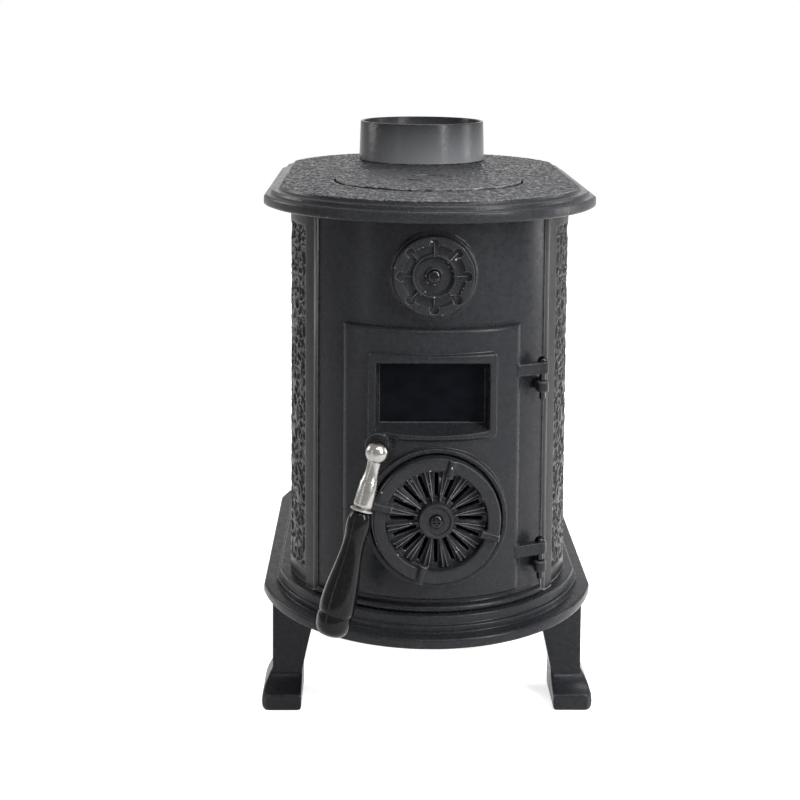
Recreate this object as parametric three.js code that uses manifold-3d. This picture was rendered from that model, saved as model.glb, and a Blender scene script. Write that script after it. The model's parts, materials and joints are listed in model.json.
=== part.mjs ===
// Small cast-iron stove on four legs: oval top and base plates with stepped rims, two curved relief
// side panels, a curved front plate with a hinged window door, a slotted air wheel, a round upper
// damper, a lift-off hotplate lid and a flue collar. Millimetres, +Z up, the front faces -Y.
import * as THREE from 'three';
import { mergeVertices } from 'three/addons/utils/BufferGeometryUtils.js';
import Module from 'manifold-3d';

const wasm = await Module();
wasm.setup();

// ---------------------------------------------------------------- sizes
const GAP = 0.3; // left between pieces that rest on or beside each other
const RUNNING = 0.1; // radial play of a shaft that turns in its hole
const FLAT = 0.01; // facets closer to one plane than this are joined

// Oval plan shared by the plates and the body.
const PLATE_HALF_WIDTH = 138.4;
const PLATE_HALF_LENGTH = 214.4;
const ARC_SLACK = 4; // end arcs' radius past the half width
const OVERHANG = 22.4; // plates past the body panels
const WALL = 6;
const PLATE_ARC_RADIUS = PLATE_HALF_WIDTH + ARC_SLACK;
const ARC_CENTRE = PLATE_HALF_LENGTH - PLATE_ARC_RADIUS;
const BODY_RADIUS = PLATE_ARC_RADIUS - OVERHANG;
const BODY_HALF_WIDTH = PLATE_HALF_WIDTH - OVERHANG;
const BODY_FRONT = PLATE_HALF_LENGTH - OVERHANG; // front plate's face from the middle
const REACH = 2 * PLATE_HALF_LENGTH; // how far cutting blocks run past what they cut

// Base plate, from the floor up.
const BASE_BOTTOM = 87.9;
const BASE_TIERS = [
  { inset: 0, height: 8.4 },
  { inset: 10.9, height: 14 },
  { inset: 13.9, height: 20.9 },
];
const BASE_TOP = BASE_BOTTOM + BASE_TIERS[2].height;
const PANEL_BOTTOM = BASE_TOP + GAP;
const TIER_ROUND = 1.2;
const DECK = 7; // plate thickness over the hollow undersides

// Door and its opening.
const DOOR = { halfWidth: 70, height: 215.2, aboveBase: 10.7, thickness: 5.7, round: 3 };
const DOOR_BOTTOM = PANEL_BOTTOM + DOOR.aboveBase;
const DOOR_TOP = DOOR_BOTTOM + DOOR.height;
const DOOR_BACK = BODY_RADIUS + GAP;
const DOOR_FACE = DOOR_BACK + DOOR.thickness;
const DOOR_LAP = 6; // door past the seal rebate
const SEAL = { width: 6, depth: 3 };
const SILL_BEAD = { radius: 2.8, proud: 2.2, height: 3 }; // its centre stands proud of the plate's face
const WINDOW = { halfWidth: 41.2, height: 46.7, belowTop: 30.6, bevel: 5.4, proud: 3 };
const FRAME = { side: 3.6, top: 5.6, bottom: 3.9 }; // flat band round the window's bevel
const WINDOW_TOP = DOOR_TOP - WINDOW.belowTop;
const WINDOW_BOTTOM = WINDOW_TOP - WINDOW.height;
const GLASS = { lap: 5.5, thickness: 4, seat: 10, gasket: 1.5 };
const CLIP = { width: 10, thickness: 1.8, reach: 8, inset: 4.5, boss: 8, clear: 1.5 };
const CLIP_SCREW = { radius: 2, head: 3.6, headHeight: 2.4, length: 9, tip: 2 };

// Air wheel on the door.
const WHEEL = { x: 3.1, belowWindow: 70.5, radius: 50, rim: 10.4, thickness: 11, web: 2.2, hub: 13.8 };
const HUB_DISH = { radius: 10.8, depth: 1.2 };
const WHEEL_HEIGHT = WINDOW_BOTTOM - WHEEL.belowWindow;
// Crest and notch are shares of the vane's half width and height.
const VANE = { count: 16, height: 5.5, crest: 0.3, notch: 0.65, edge: 0.5, groove: 1.1 };
const WHEEL_BOSS = { margin: 5.2, rim: 3.6, proud: 9, recess: 4.4, plate: 4.8, pocket: 46 };
const WHEEL_POST = { radius: 9.2, length: 15.6 };
const AIR_SLOT = { width: 2.8, inner: 17, margin: 3.6 };
const GRIP_NUB = { radius: 3.4, length: 14, angle: 75, count: 4 };
const PAN_SCREW = { radius: 2.5, head: 5.4, headHeight: 3.8, recess: 1.5, bite: 12 };
const WHEEL_BOSS_RADIUS = WHEEL.radius + WHEEL_BOSS.margin;
const WHEEL_BOSS_FACE = BODY_FRONT + WHEEL_BOSS.proud;

// Round upper damper on the front plate.
const DAMPER = { aboveDoor: 41.8, radius: 31.3, thickness: 6.8, floor: 3.4, hub: 7.5, hubHeight: 5.6 };
const CHANNEL = { inner: 17.6, outer: 24, dish: 15 }; // round channel and the dish inside it
const POCKET = { count: 8, radius: 3.8, ring: 25.6 };
const CUSP = { halfWidth: 3.2, start: 16.4, end: 28, sunk: 0.2 };
const DAMPER_BOSS = { margin: 2.3, proud: 0.4, port: 3 };
const DAMPER_HEIGHT = DOOR_TOP + DAMPER.aboveDoor;
const DAMPER_BOSS_FACE = BODY_FRONT + DAMPER_BOSS.proud;

// Body panels and top plate.
const PANEL_TOP = DAMPER_HEIGHT + DAMPER.radius + 10.9;
const PANEL_HEIGHT = PANEL_TOP - PANEL_BOTTOM;
const TOP_BOTTOM = PANEL_TOP + GAP;
const TOP_TIERS = [
  { inset: 0, height: 9.2 },
  { inset: 6, height: 12.9 },
  { inset: 13, height: 16.7 },
];
const TOP_THICKNESS = TOP_TIERS[2].height;
const TOP_BEARING = 4; // solid band of the top plate inside the wall
const FIELD_TOP = TOP_BOTTOM + TOP_THICKNESS;
const SEAM = DOOR.halfWidth + 21; // half width of the front and back plates
const PILASTER = { width: 7.7, proud: 3 };
const RELIEF = { depth: 2.5, border: 12, margin: 3 };
const LEAF = { length: 56, width: 19, rows: 4, columns: 4, tilt: 0.55 };

// Legs.
const LEG_INSET = { x: 23.4, y: 34 }; // from the plate's side, and past the end arc's centre
const LEG_X = PLATE_HALF_WIDTH - LEG_INSET.x;
const LEG_Y = ARC_CENTRE + LEG_INSET.y;
const LEG_POST = { outer: 15, innerTop: 24, innerAnkle: 10, front: 14, back: 14, ankle: 26 };
const FOOT = { outer: 23.1, front: 33, height: 13.5, round: 3, chamfer: 5 };
const LUG = { halfWidth: 9, length: 22, thickness: 8 };
const LEG_BOLT = { radius: 4, headWidth: 13, headHeight: 5.3, bite: 14 };

// Hinges.
const HINGE = { reach: 18.5, stand: 13, eye: 5, armHeight: 9.4, knuckleHeight: 9.2, play: 6 };
const HINGE_ARM = { bite: 2.5, bevel: 0.8, proud: 1 };
const HINGE_PIN = { radius: 2.5, head: 4.2, dome: 3.8, tail: 6 };
const HINGE_X = DOOR.halfWidth + HINGE.reach;
const HINGE_Y = arcDepth(BODY_RADIUS, HINGE_X) + HINGE.stand;
const HINGE_ARMS = [DOOR_BOTTOM + 26.8, DOOR_TOP - 41.4]; // undersides of the door's arms

// Door handle.
const HANDLE = { pastWindow: 1.8, belowWindow: 13.7, ballRadius: 9, ballProud: 23, shank: 5.2 };
const HANDLE_BOSS = { radius: 9.5, proud: 5 };
const HANDLE_X = WINDOW.halfWidth + HANDLE.pastWindow;
const HANDLE_HEIGHT = WINDOW_BOTTOM - HANDLE.belowWindow;
const HANDLE_BALL = BODY_FRONT + HANDLE.ballProud;
const HANDLE_LEAN = new THREE.Vector3(-34, -20, -131).normalize();
const NECK = { start: 2, radius: 5.3, flare: 1.1, ferrule: 22, sleeve: 7.8, rim: 9.5, lip: 3, end: 45 };
const GRIP = { length: 95, radius: 13.8, tang: 3.2, tangLength: 20 };
const SPINDLE = { radius: 4, front: 20, back: 46 }; // ends before and behind the front plate's face
const CAM = { hub: 8, length: 27, width: 11, thickness: 6, behind: 31 };
const SPINDLE_NUT = { width: 13, height: 6.5 };

// Hotplate lid and flue collar.
const LID = { fromFront: 154.4, radius: 80, thickness: 6, proud: 1.8, play: 1.8, lap: 7, skirt: 3 };
const MEDALLION = { radius: 23, width: 2.8, proud: 0.9, field: 0.2 };
const LID_Y = LID.fromFront - PLATE_HALF_LENGTH;
const COLLAR = { fromBack: 84.4, radius: 62.5, topRadius: 61.3, height: 38, wall: 4.5, rim: 1 };
const COLLAR_Y = PLATE_HALF_LENGTH - COLLAR.fromBack;
const COLLAR_BORE = COLLAR.radius - COLLAR.wall - 1;
const EAR = { length: 12, width: 16, thickness: 5 };
const EAR_X = COLLAR_BORE - EAR.length / 2;
const COLLAR_SCREW = { radius: 3, head: 6, headHeight: 3.8, recess: 1.6 };

// Firebox.
const TIE_ROD = { angle: 60.5, inset: 8.3, radius: 4, boss: 8, bite: 8, tail: 2 };
const ROD_NUT = { width: 13, height: 6.5 };
const TIE_ROD_ANGLE = THREE.MathUtils.degToRad(TIE_ROD.angle);
const TIE_ROD_ARC = BODY_RADIUS - WALL - TIE_ROD.inset;
const TIE_ROD_X = TIE_ROD_ARC * Math.sin(TIE_ROD_ANGLE);
const TIE_ROD_Y = ARC_CENTRE + TIE_ROD_ARC * Math.cos(TIE_ROD_ANGLE);
// Lengths named front and back are counted past the centres of the end arcs.
const ASH_PAN = { halfWidth: 54, front: 74, back: 24, height: 30, wall: 1.8, handle: 14 };
const LEDGE = { width: 16, back: 6, thickness: 6, overPan: 20.7 };
const LEDGE_TOP = PANEL_BOTTOM + ASH_PAN.height + LEDGE.overPan;
const GRATE = { thickness: 8, slots: 9, slotWidth: 8, inset: 6, front: 4, back: 29, margin: 14 };
const GRATE_HALF_WIDTH = BODY_HALF_WIDTH - WALL - GRATE.inset;
const BRICK = { thickness: 22, front: 2 };
const BAFFLE = { thickness: 8, belowTop: 75.1, front: -12, back: 88, inset: 4, notch: 4 };

// Facet counts.
const ARC_STEPS = 8; // half the facets of each end arc of the oval
const END_TURN = 56; // full turns about an end arc's centre
const PLATE_TURN = 36; // full turns of the lid, its hole and the collar
const DISC_TURN = 32; // full turns of the wheel and the damper
const ROUND = 20; // full turns of bosses
const SMALL_ROUND = 12; // full turns of pins, screws and the handle
const LOBE_ROUND = 8; // full turns of the damper's pockets and the grip nubs

// ---------------------------------------------------------------- solids
function solid(geometry) {
  const bare = geometry.clone();
  bare.deleteAttribute('normal');
  bare.deleteAttribute('uv');
  const merged = mergeVertices(bare, 1e-4);
  const vertProperties = new Float32Array(merged.attributes.position.array);
  const triVerts = new Uint32Array(merged.index.array);
  return new wasm.Manifold(new wasm.Mesh({ numProp: 3, vertProperties, triVerts }));
}

function geometryOf(body) {
  const mesh = body.asOriginal().simplify(FLAT).getMesh();
  const geometry = new THREE.BufferGeometry();
  geometry.setAttribute('position', new THREE.BufferAttribute(new Float32Array(mesh.vertProperties), 3));
  geometry.setIndex(new THREE.BufferAttribute(new Uint32Array(mesh.triVerts), 1));
  geometry.computeVertexNormals();
  return geometry;
}

function union(bodies) {
  return bodies.reduce((sum, body) => sum.add(body));
}

function block(x0, x1, y0, y1, z0, z1) {
  const geometry = new THREE.BoxGeometry(x1 - x0, y1 - y0, z1 - z0);
  geometry.translate((x0 + x1) / 2, (y0 + y1) / 2, (z0 + z1) / 2);
  return solid(geometry);
}

// Upright prism over a plan shape, with its top and bottom edges rounded if asked.
function prism(shape, bottom, top, round = 0, steps = ARC_STEPS) {
  const geometry = new THREE.ExtrudeGeometry(shape, {
    depth: top - bottom - 2 * round,
    curveSegments: steps,
    bevelEnabled: round > 0,
    bevelThickness: round,
    bevelSize: round,
    bevelOffset: -round,
    bevelSegments: 1,
  });
  geometry.translate(0, 0, bottom + round);
  return solid(geometry);
}

function upright(radius, bottom, top, x = 0, y = 0, steps = SMALL_ROUND) {
  const geometry = new THREE.CylinderGeometry(radius, radius, top - bottom, steps);
  geometry.rotateX(Math.PI / 2);
  geometry.translate(x, y, (bottom + top) / 2);
  return solid(geometry);
}

// Round bar along Y between two distances in front of the stove's middle.
function forward(radius, near, far, x, z, steps = SMALL_ROUND) {
  const geometry = new THREE.CylinderGeometry(radius, radius, far - near, steps);
  geometry.translate(x, -(near + far) / 2, z);
  return solid(geometry);
}

// Corner radius of a faceted bore that keeps the running play round a shaft of as many facets.
function boreRadius(radius) {
  return (radius + RUNNING) / Math.cos(Math.PI / SMALL_ROUND);
}

function hexagon(width, bottom, top, x = 0, y = 0) {
  return upright(width / Math.sqrt(3), bottom, top, x, y, 6);
}

// Solid of revolution about Z from [radius, height] pairs.
function turned(profile, steps = ROUND) {
  const points = profile.map(([radius, height]) => new THREE.Vector2(radius, height));
  const geometry = new THREE.LatheGeometry(points, steps);
  geometry.rotateX(Math.PI / 2);
  return solid(geometry);
}

function turnedOnEndArc(profile) {
  return turned(profile, END_TURN).translate([0, -ARC_CENTRE, 0]);
}

// Quarter circle of profile points about (radius, height), from one angle to the next, in degrees.
function corner(radius, height, size, from, to, steps = 2) {
  const points = [];
  for (let i = 0; i <= steps; i += 1) {
    const angle = THREE.MathUtils.degToRad(from + ((to - from) * i) / steps);
    points.push([radius + size * Math.cos(angle), height + size * Math.sin(angle)]);
  }
  return points;
}

// Ring profile with its two outer corners rounded.
function roundedRing(inner, outer, bottom, top, round) {
  const profile = [
    [inner, bottom],
    ...corner(outer - round, bottom + round, round, -90, 0),
    ...corner(outer - round, top - round, round, 0, 90),
    [inner, top],
  ];
  return [...profile, profile[0]];
}

// Plan of the plates, drawn in by the given inset.
function ovalShape(inset) {
  const radius = PLATE_ARC_RADIUS - inset;
  const half = Math.asin((PLATE_HALF_WIDTH - inset) / radius);
  const shape = new THREE.Shape();
  shape.absarc(0, -ARC_CENTRE, radius, -Math.PI / 2 - half, -Math.PI / 2 + half, false);
  shape.absarc(0, ARC_CENTRE, radius, Math.PI / 2 - half, Math.PI / 2 + half, false);
  return shape;
}

function oval(inset, bottom, top, round = 0) {
  return prism(ovalShape(inset), bottom, top, round);
}

// Curved wall between two insets of the oval.
function shell(outerInset, innerInset, bottom, top) {
  return oval(outerInset, bottom, top).subtract(oval(innerInset, bottom - 1, top + 1));
}

function polygon(points) {
  return new THREE.Shape(points.map(([x, y]) => new THREE.Vector2(x, y)));
}

// Distance in front of the middle of a point on a front arc of the given radius.
function arcDepth(radius, x) {
  return ARC_CENTRE + Math.sqrt(radius * radius - x * x);
}

// The four corners that mirror a piece, with the words that name them.
const CORNERS = [
  { name: 'front_left', x: -1, y: -1 },
  { name: 'front_right', x: 1, y: -1 },
  { name: 'back_left', x: -1, y: 1 },
  { name: 'back_right', x: 1, y: 1 },
];

function mirroredTo(body, place) {
  const acrossX = place.x < 0 ? body.mirror([1, 0, 0]) : body;
  return place.y < 0 ? acrossX.mirror([0, 1, 0]) : acrossX;
}

// ---------------------------------------------------------------- materials
function material(colour, roughness, metalness) {
  return () => new THREE.MeshStandardMaterial({ color: colour, roughness, metalness });
}

const CAST_PAINT = material(0x37383b, 0.55, 0.45);
const TOP_PAINT = material(0x3d3e42, 0.5, 0.5);
const STEEL = material(0x9a9ca0, 0.35, 0.9);
const DARK_STEEL = material(0x2b2c2e, 0.5, 0.7);
const NICKEL = material(0xc9c6c0, 0.18, 1.0);
const BLACK_GRIP = material(0x0b0b0c, 0.16, 0.0);
const GLASS_PANE = material(0x0c0e12, 0.08, 0.0);
const ROPE = material(0x55534e, 0.95, 0.0);
const BRICK_BOARD = material(0xb6a27c, 0.95, 0.0);
const GALVANISED = material(0x8b8f92, 0.45, 0.8);

const stove = new THREE.Group();
stove.name = 'potbelly_stove';
const placed = new THREE.Group();
stove.add(placed);

function add(name, body, look, x = 0, y = 0, z = 0) {
  const mesh = new THREE.Mesh(geometryOf(body), look());
  mesh.name = name;
  mesh.position.set(x, y, z);
  placed.add(mesh);
  return mesh;
}

// ---------------------------------------------------------------- base plate and legs
function tiers(list) {
  return union(list.map(({ inset, height }, level) => {
    const bottom = level > 0 ? list[level - 1].height - 2 * TIER_ROUND : 0;
    return oval(inset, bottom, height, TIER_ROUND);
  }));
}

function basePlate() {
  const hollow = oval(OVERHANG, -1, BASE_TIERS[2].height - DECK);
  const pads = CORNERS.map(({ x, y }) => {
    const innerX = LEG_X - LEG_POST.innerAnkle - 2;
    const innerY = LEG_Y - LEG_POST.back - LUG.length;
    const pad = block(innerX, PLATE_HALF_WIDTH, innerY, LEG_Y + LEG_POST.front + 2, -2, BASE_TIERS[2].height);
    return mirroredTo(pad, { x, y });
  });
  let plate = tiers(BASE_TIERS).subtract(hollow.subtract(union(pads)));
  for (const { x, y } of CORNERS) {
    const boltY = LEG_Y - LEG_POST.back - LUG.length / 2;
    plate = plate.subtract(upright(LEG_BOLT.radius + GAP, -1, LEG_BOLT.bite, x * LEG_X, y * boltY));
    plate = plate.subtract(upright(TIE_ROD.radius + GAP, -1, REACH, x * TIE_ROD_X, y * TIE_ROD_Y));
  }
  return plate;
}

// One leg in its own frame: x outwards, y away from the middle, z up from the floor.
function leg() {
  const top = BASE_BOTTOM - GAP;
  const { outer, innerTop, innerAnkle, front, back, ankle } = LEG_POST;
  const face = new THREE.Shape();
  face.moveTo(-innerAnkle + FOOT.round, 0);
  face.lineTo(FOOT.outer - FOOT.round, 0);
  face.quadraticCurveTo(FOOT.outer, 0, FOOT.outer, FOOT.height / 2);
  face.bezierCurveTo(FOOT.outer, FOOT.height + 4, outer + 2, ankle - 4, outer, ankle + 3);
  face.lineTo(outer, top);
  face.lineTo(-innerTop, top);
  face.quadraticCurveTo(-innerAnkle - 4, ankle + 22, -innerAnkle, ankle);
  face.lineTo(-innerAnkle, FOOT.round);
  face.quadraticCurveTo(-innerAnkle, 0, -innerAnkle + FOOT.round, 0);

  const side = new THREE.Shape();
  side.moveTo(-back, 0);
  side.lineTo(FOOT.front - 1, 0);
  side.lineTo(FOOT.front, 1);
  side.lineTo(FOOT.front, FOOT.height);
  side.quadraticCurveTo(front + 6, FOOT.height + 3, front, ankle - 2);
  side.lineTo(front, top);
  side.lineTo(-back, top);

  // Extrusions run along the third axis, so each profile is turned upright first.
  const depth = { depth: 4 * FOOT.front, curveSegments: 6, bevelEnabled: false };
  const faceGeometry = new THREE.ExtrudeGeometry(face, depth);
  faceGeometry.rotateX(Math.PI / 2);
  faceGeometry.translate(0, 2 * FOOT.front, 0);
  const sweep = (shape) => {
    const geometry = new THREE.ExtrudeGeometry(shape, depth);
    geometry.rotateX(Math.PI / 2);
    geometry.rotateZ(Math.PI / 2);
    geometry.translate(-2 * FOOT.front, 0, 0);
    return solid(geometry);
  };
  const post = solid(faceGeometry);
  const { outer: toe, front: tip, chamfer } = FOOT;
  const corner = polygon([[toe + 1, tip - chamfer - 1], [toe + 1, tip + 1], [toe - chamfer - 1, tip + 1]]);
  const casting = post.intersect(sweep(side)).subtract(prism(corner, -1, REACH));

  const lug = block(-LUG.halfWidth, LUG.halfWidth, -back - LUG.length, 0, top - LUG.thickness, top);
  const bore = upright(LEG_BOLT.radius + GAP, 0, REACH, 0, -back - LUG.length / 2);
  return casting.add(lug).subtract(bore.intersect(block(-REACH, REACH, -REACH, -back, -1, REACH)));
}

function hexBolt({ radius, headWidth, headHeight }, length) {
  return hexagon(headWidth, -headHeight, 0).add(upright(radius, -headHeight / 2, length));
}

add('base_plate', basePlate(), CAST_PAINT, 0, 0, BASE_BOTTOM);
const legSolid = leg();
const lugUnderside = BASE_BOTTOM - GAP - LUG.thickness;
const legBolt = hexBolt(LEG_BOLT, LUG.thickness + 2 * GAP + LEG_BOLT.bite - 2);
for (const place of CORNERS) {
  add(`leg_${place.name}`, mirroredTo(legSolid, place), CAST_PAINT, place.x * LEG_X, place.y * LEG_Y);
  const boltY = place.y * (LEG_Y - LEG_POST.back - LUG.length / 2);
  add(`leg_bolt_${place.name}`, legBolt, DARK_STEEL, place.x * LEG_X, boltY, lugUnderside - GAP);
}

// ---------------------------------------------------------------- side panels
function leafShape() {
  const { length, width } = LEAF;
  const shape = new THREE.Shape();
  shape.moveTo(0, -length / 2);
  shape.quadraticCurveTo(width, 0, 0, length / 2);
  shape.quadraticCurveTo(-width, 0, 0, -length / 2);
  return shape;
}

// A leaf standing on the panel's outer face: a prism whose depth points along the face's normal.
function leaf(x, y, turn, z, tilt) {
  const extent = { depth: 2 * WALL, curveSegments: 3, bevelEnabled: false };
  const geometry = new THREE.ExtrudeGeometry(leafShape(), extent);
  geometry.translate(0, 0, -WALL);
  geometry.rotateZ(tilt);
  geometry.rotateX(Math.PI / 2);
  geometry.rotateZ(turn);
  geometry.translate(x, y, z);
  return solid(geometry);
}

// Places around the panel's outer face: [x, y, turn of the outward normal from -Y].
function panelStations() {
  const stations = [];
  const corner0 = Math.asin(BODY_HALF_WIDTH / BODY_RADIUS);
  const first = Math.asin((SEAM + GAP + PILASTER.width + RELIEF.margin) / BODY_RADIUS);
  const straight = arcDepth(BODY_RADIUS, BODY_HALF_WIDTH);
  const angle = (first + corner0) / 2 + 0.04;
  for (const end of [-1, 1]) {
    const turn = end < 0 ? angle : Math.PI - angle;
    stations.push([BODY_RADIUS * Math.sin(angle), end * (ARC_CENTRE + BODY_RADIUS * Math.cos(angle)), turn]);
  }
  for (let i = 0; i < LEAF.columns; i += 1) {
    stations.push([BODY_HALF_WIDTH, straight * ((2 * i + 1) / LEAF.columns - 1), Math.PI / 2]);
  }
  return stations;
}

// Right-hand panel; the left one is its mirror image.
function sidePanel() {
  const body = shell(OVERHANG, OVERHANG + WALL, 0, PANEL_HEIGHT);
  const edge = SEAM + GAP;
  const post = shell(OVERHANG - PILASTER.proud, OVERHANG + WALL, 0, PANEL_HEIGHT)
    .intersect(block(edge, edge + PILASTER.width, -REACH, REACH, -1, REACH));
  const wall = body.intersect(block(edge, REACH, -REACH, REACH, -1, REACH));

  const fieldEdge = edge + PILASTER.width + RELIEF.margin;
  const skin = shell(OVERHANG - 1, OVERHANG + RELIEF.depth, RELIEF.border, PANEL_HEIGHT - RELIEF.border)
    .intersect(block(fieldEdge, REACH, -REACH, REACH, -1, REACH));
  const leaves = [];
  const rise = (PANEL_HEIGHT - 2 * RELIEF.border) / LEAF.rows;
  panelStations().forEach(([x, y, turn], column) => {
    for (let row = 0; row < LEAF.rows; row += 1) {
      const z = RELIEF.border + rise * (row + 0.5) + (column % 2 ? rise / 4 : -rise / 4);
      leaves.push(leaf(x, y, turn, z, (row + column) % 2 ? LEAF.tilt : -LEAF.tilt));
    }
  });
  const inside = OVERHANG + WALL;
  const ledge = block(PLATE_HALF_WIDTH - inside - LEDGE.width, PLATE_HALF_WIDTH - inside + 1,
    -ARC_CENTRE - LEDGE.back, ARC_CENTRE + LEDGE.back,
    LEDGE_TOP - LEDGE.thickness - PANEL_BOTTOM, LEDGE_TOP - PANEL_BOTTOM);
  return union([wall.subtract(skin.subtract(union(leaves))), post, ledge]);
}

const rightPanel = sidePanel();
add('side_panel_right', rightPanel, CAST_PAINT, 0, 0, PANEL_BOTTOM);
add('side_panel_left', rightPanel.mirror([1, 0, 0]), CAST_PAINT, 0, 0, PANEL_BOTTOM);

// ---------------------------------------------------------------- front and back plates
function endPlate() {
  return shell(OVERHANG, OVERHANG + WALL, 0, PANEL_HEIGHT)
    .intersect(block(-SEAM, SEAM, -REACH, 0, -1, REACH));
}

function airPorts() {
  const holes = [];
  for (let i = 0; i < POCKET.count; i += 1) {
    const angle = (2 * Math.PI * i) / POCKET.count;
    const x = POCKET.ring * Math.sin(angle);
    const z = POCKET.ring * Math.cos(angle);
    holes.push(forward(DAMPER_BOSS.port, 0, REACH, x, z, LOBE_ROUND));
  }
  return union(holes);
}

// Hinge knuckle on the plate: an eye and the web that carries it.
function knuckle(bottom) {
  const eye = upright(HINGE.eye, bottom, bottom + HINGE.knuckleHeight, HINGE_X, -HINGE_Y);
  const web = block(SEAM - WALL, SEAM, -HINGE_Y, -arcDepth(BODY_RADIUS, SEAM) + 1,
    bottom, bottom + HINGE.knuckleHeight);
  return eye.add(web);
}

function frontPlate() {
  const opening = {
    half: DOOR.halfWidth - DOOR_LAP,
    bottom: DOOR_BOTTOM + DOOR_LAP - PANEL_BOTTOM,
    top: DOOR_TOP - DOOR_LAP - PANEL_BOTTOM,
  };
  const { radius, proud, height } = SILL_BEAD;
  const bead = turnedOnEndArc(corner(BODY_RADIUS + proud, height, radius, 0, 360, 10))
    .intersect(block(-SEAM, SEAM, -REACH, -ARC_CENTRE, 0, REACH));
  const damperZ = DAMPER_HEIGHT - PANEL_BOTTOM;
  const boss = forward(DAMPER.radius + DAMPER_BOSS.margin, ARC_CENTRE, DAMPER_BOSS_FACE, 0, damperZ, ROUND)
    .subtract(oval(OVERHANG + WALL, -1, REACH));
  let plate = union([endPlate(), bead, boss]);

  const rebate = block(-opening.half, opening.half, -REACH, 0, opening.bottom, opening.top)
    .subtract(oval(OVERHANG + SEAL.depth, -1, REACH));
  const through = block(-opening.half + SEAL.width, opening.half - SEAL.width, -REACH, 0,
    opening.bottom + SEAL.width, opening.top - SEAL.width);
  plate = plate.subtract(rebate).subtract(through);
  plate = plate.subtract(airPorts().translate([0, 0, damperZ]));
  plate = plate.subtract(forward(boreRadius(PAN_SCREW.radius), 0, REACH, 0, damperZ));
  for (const arm of HINGE_ARMS) {
    const bottom = arm - HINGE.play - HINGE.knuckleHeight - PANEL_BOTTOM;
    plate = plate.add(knuckle(bottom));
    const top = bottom + HINGE.knuckleHeight + 1;
    plate = plate.subtract(upright(boreRadius(HINGE_PIN.radius), bottom - 1, top, HINGE_X, -HINGE_Y));
  }
  return plate;
}

add('front_plate', frontPlate(), CAST_PAINT, 0, 0, PANEL_BOTTOM);
add('back_plate', endPlate().mirror([0, 1, 0]), CAST_PAINT, 0, 0, PANEL_BOTTOM);

// ---------------------------------------------------------------- top plate, lid and collar
function earPair(width, reach, inner, bottom, top) {
  const bar = block(-reach, reach, -width / 2, width / 2, bottom, top);
  return bar.subtract(block(-inner, inner, -width, width, bottom - 1, top + 1));
}

function topPlate() {
  const hollow = oval(OVERHANG + WALL + TOP_BEARING, -1, TOP_THICKNESS - DECK);
  const bosses = CORNERS.map(({ x, y }) => (
    upright(TIE_ROD.boss, -2, TOP_THICKNESS - TIER_ROUND, x * TIE_ROD_X, y * TIE_ROD_Y)
  ));
  let plate = tiers(TOP_TIERS).subtract(hollow.subtract(union(bosses)));
  const seat = TOP_THICKNESS - LID.thickness + LID.proud - GAP;
  plate = plate.subtract(upright(LID.radius + LID.play, seat, REACH, 0, LID_Y, PLATE_TURN));
  plate = plate.subtract(upright(LID.radius - LID.lap, -1, REACH, 0, LID_Y, PLATE_TURN));
  const flue = upright(COLLAR_BORE, -1, REACH, 0, COLLAR_Y, PLATE_TURN)
    .subtract(earPair(EAR.width, REACH, COLLAR_BORE - EAR.length, -2, REACH).translate([0, COLLAR_Y, 0]));
  plate = plate.subtract(flue);
  for (const side of [-1, 1]) {
    plate = plate.subtract(upright(COLLAR_SCREW.radius + GAP, -1, REACH, side * EAR_X, COLLAR_Y));
  }
  for (const { x, y } of CORNERS) {
    const bore = upright(TIE_ROD.radius + GAP, -1, TIE_ROD.bite + GAP, x * TIE_ROD_X, y * TIE_ROD_Y);
    plate = plate.subtract(bore);
  }
  return plate;
}

// Lid with a locating skirt below and a plain raised medallion ring above.
function lid() {
  const { radius, thickness, lap, skirt, play } = LID;
  const skirtRadius = radius - lap - play;
  const ease = MEDALLION.width / 5;
  const profile = [
    [0, 0],
    [skirtRadius - 4, 0],
    [skirtRadius - 4, -skirt],
    [skirtRadius, -skirt],
    [skirtRadius, 0],
    [radius, 0],
    ...corner(radius - 1, thickness - 1, 1, 0, 90, 2),
    [MEDALLION.radius, thickness],
    [MEDALLION.radius - ease, thickness + MEDALLION.proud],
    [MEDALLION.radius - MEDALLION.width + ease, thickness + MEDALLION.proud],
    [MEDALLION.radius - MEDALLION.width, thickness + MEDALLION.field],
    [0, thickness + MEDALLION.field],
  ];
  return turned(profile, PLATE_TURN);
}

function collar() {
  const { radius, topRadius, height, wall, rim } = COLLAR;
  const profile = [
    [radius - wall, 0],
    [radius, 0],
    ...corner(topRadius - rim, height - rim, rim, 0, 90),
    ...corner(radius - wall + rim, height - rim, rim, 90, 180),
  ];
  const tube = turned([...profile, profile[0]], PLATE_TURN);
  const ears = earPair(EAR.width, radius - wall / 2, COLLAR_BORE - EAR.length, 0, EAR.thickness);
  let body = tube.add(ears);
  for (const side of [-1, 1]) {
    body = body.subtract(upright(COLLAR_SCREW.radius + GAP, -1, REACH, side * EAR_X, 0));
  }
  return body;
}

// Domed pan head with a cross recess, its shank below; z = 0 is under the head.
function panScrew({ radius, head, headHeight, recess }, length) {
  const profile = [
    [0, -length],
    [radius, -length],
    [radius, 0],
    [head, 0],
    [head, headHeight * 0.45],
    [head * 0.8, headHeight * 0.82],
    [head * 0.4, headHeight],
    [0, headHeight],
  ];
  const slot = head * 0.16;
  const arm = head * 0.55;
  const cross = block(-arm, arm, -slot, slot, headHeight - recess, headHeight + 1)
    .add(block(-slot, slot, -arm, arm, headHeight - recess, headHeight + 1));
  return turned(profile, SMALL_ROUND).subtract(cross);
}

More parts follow.
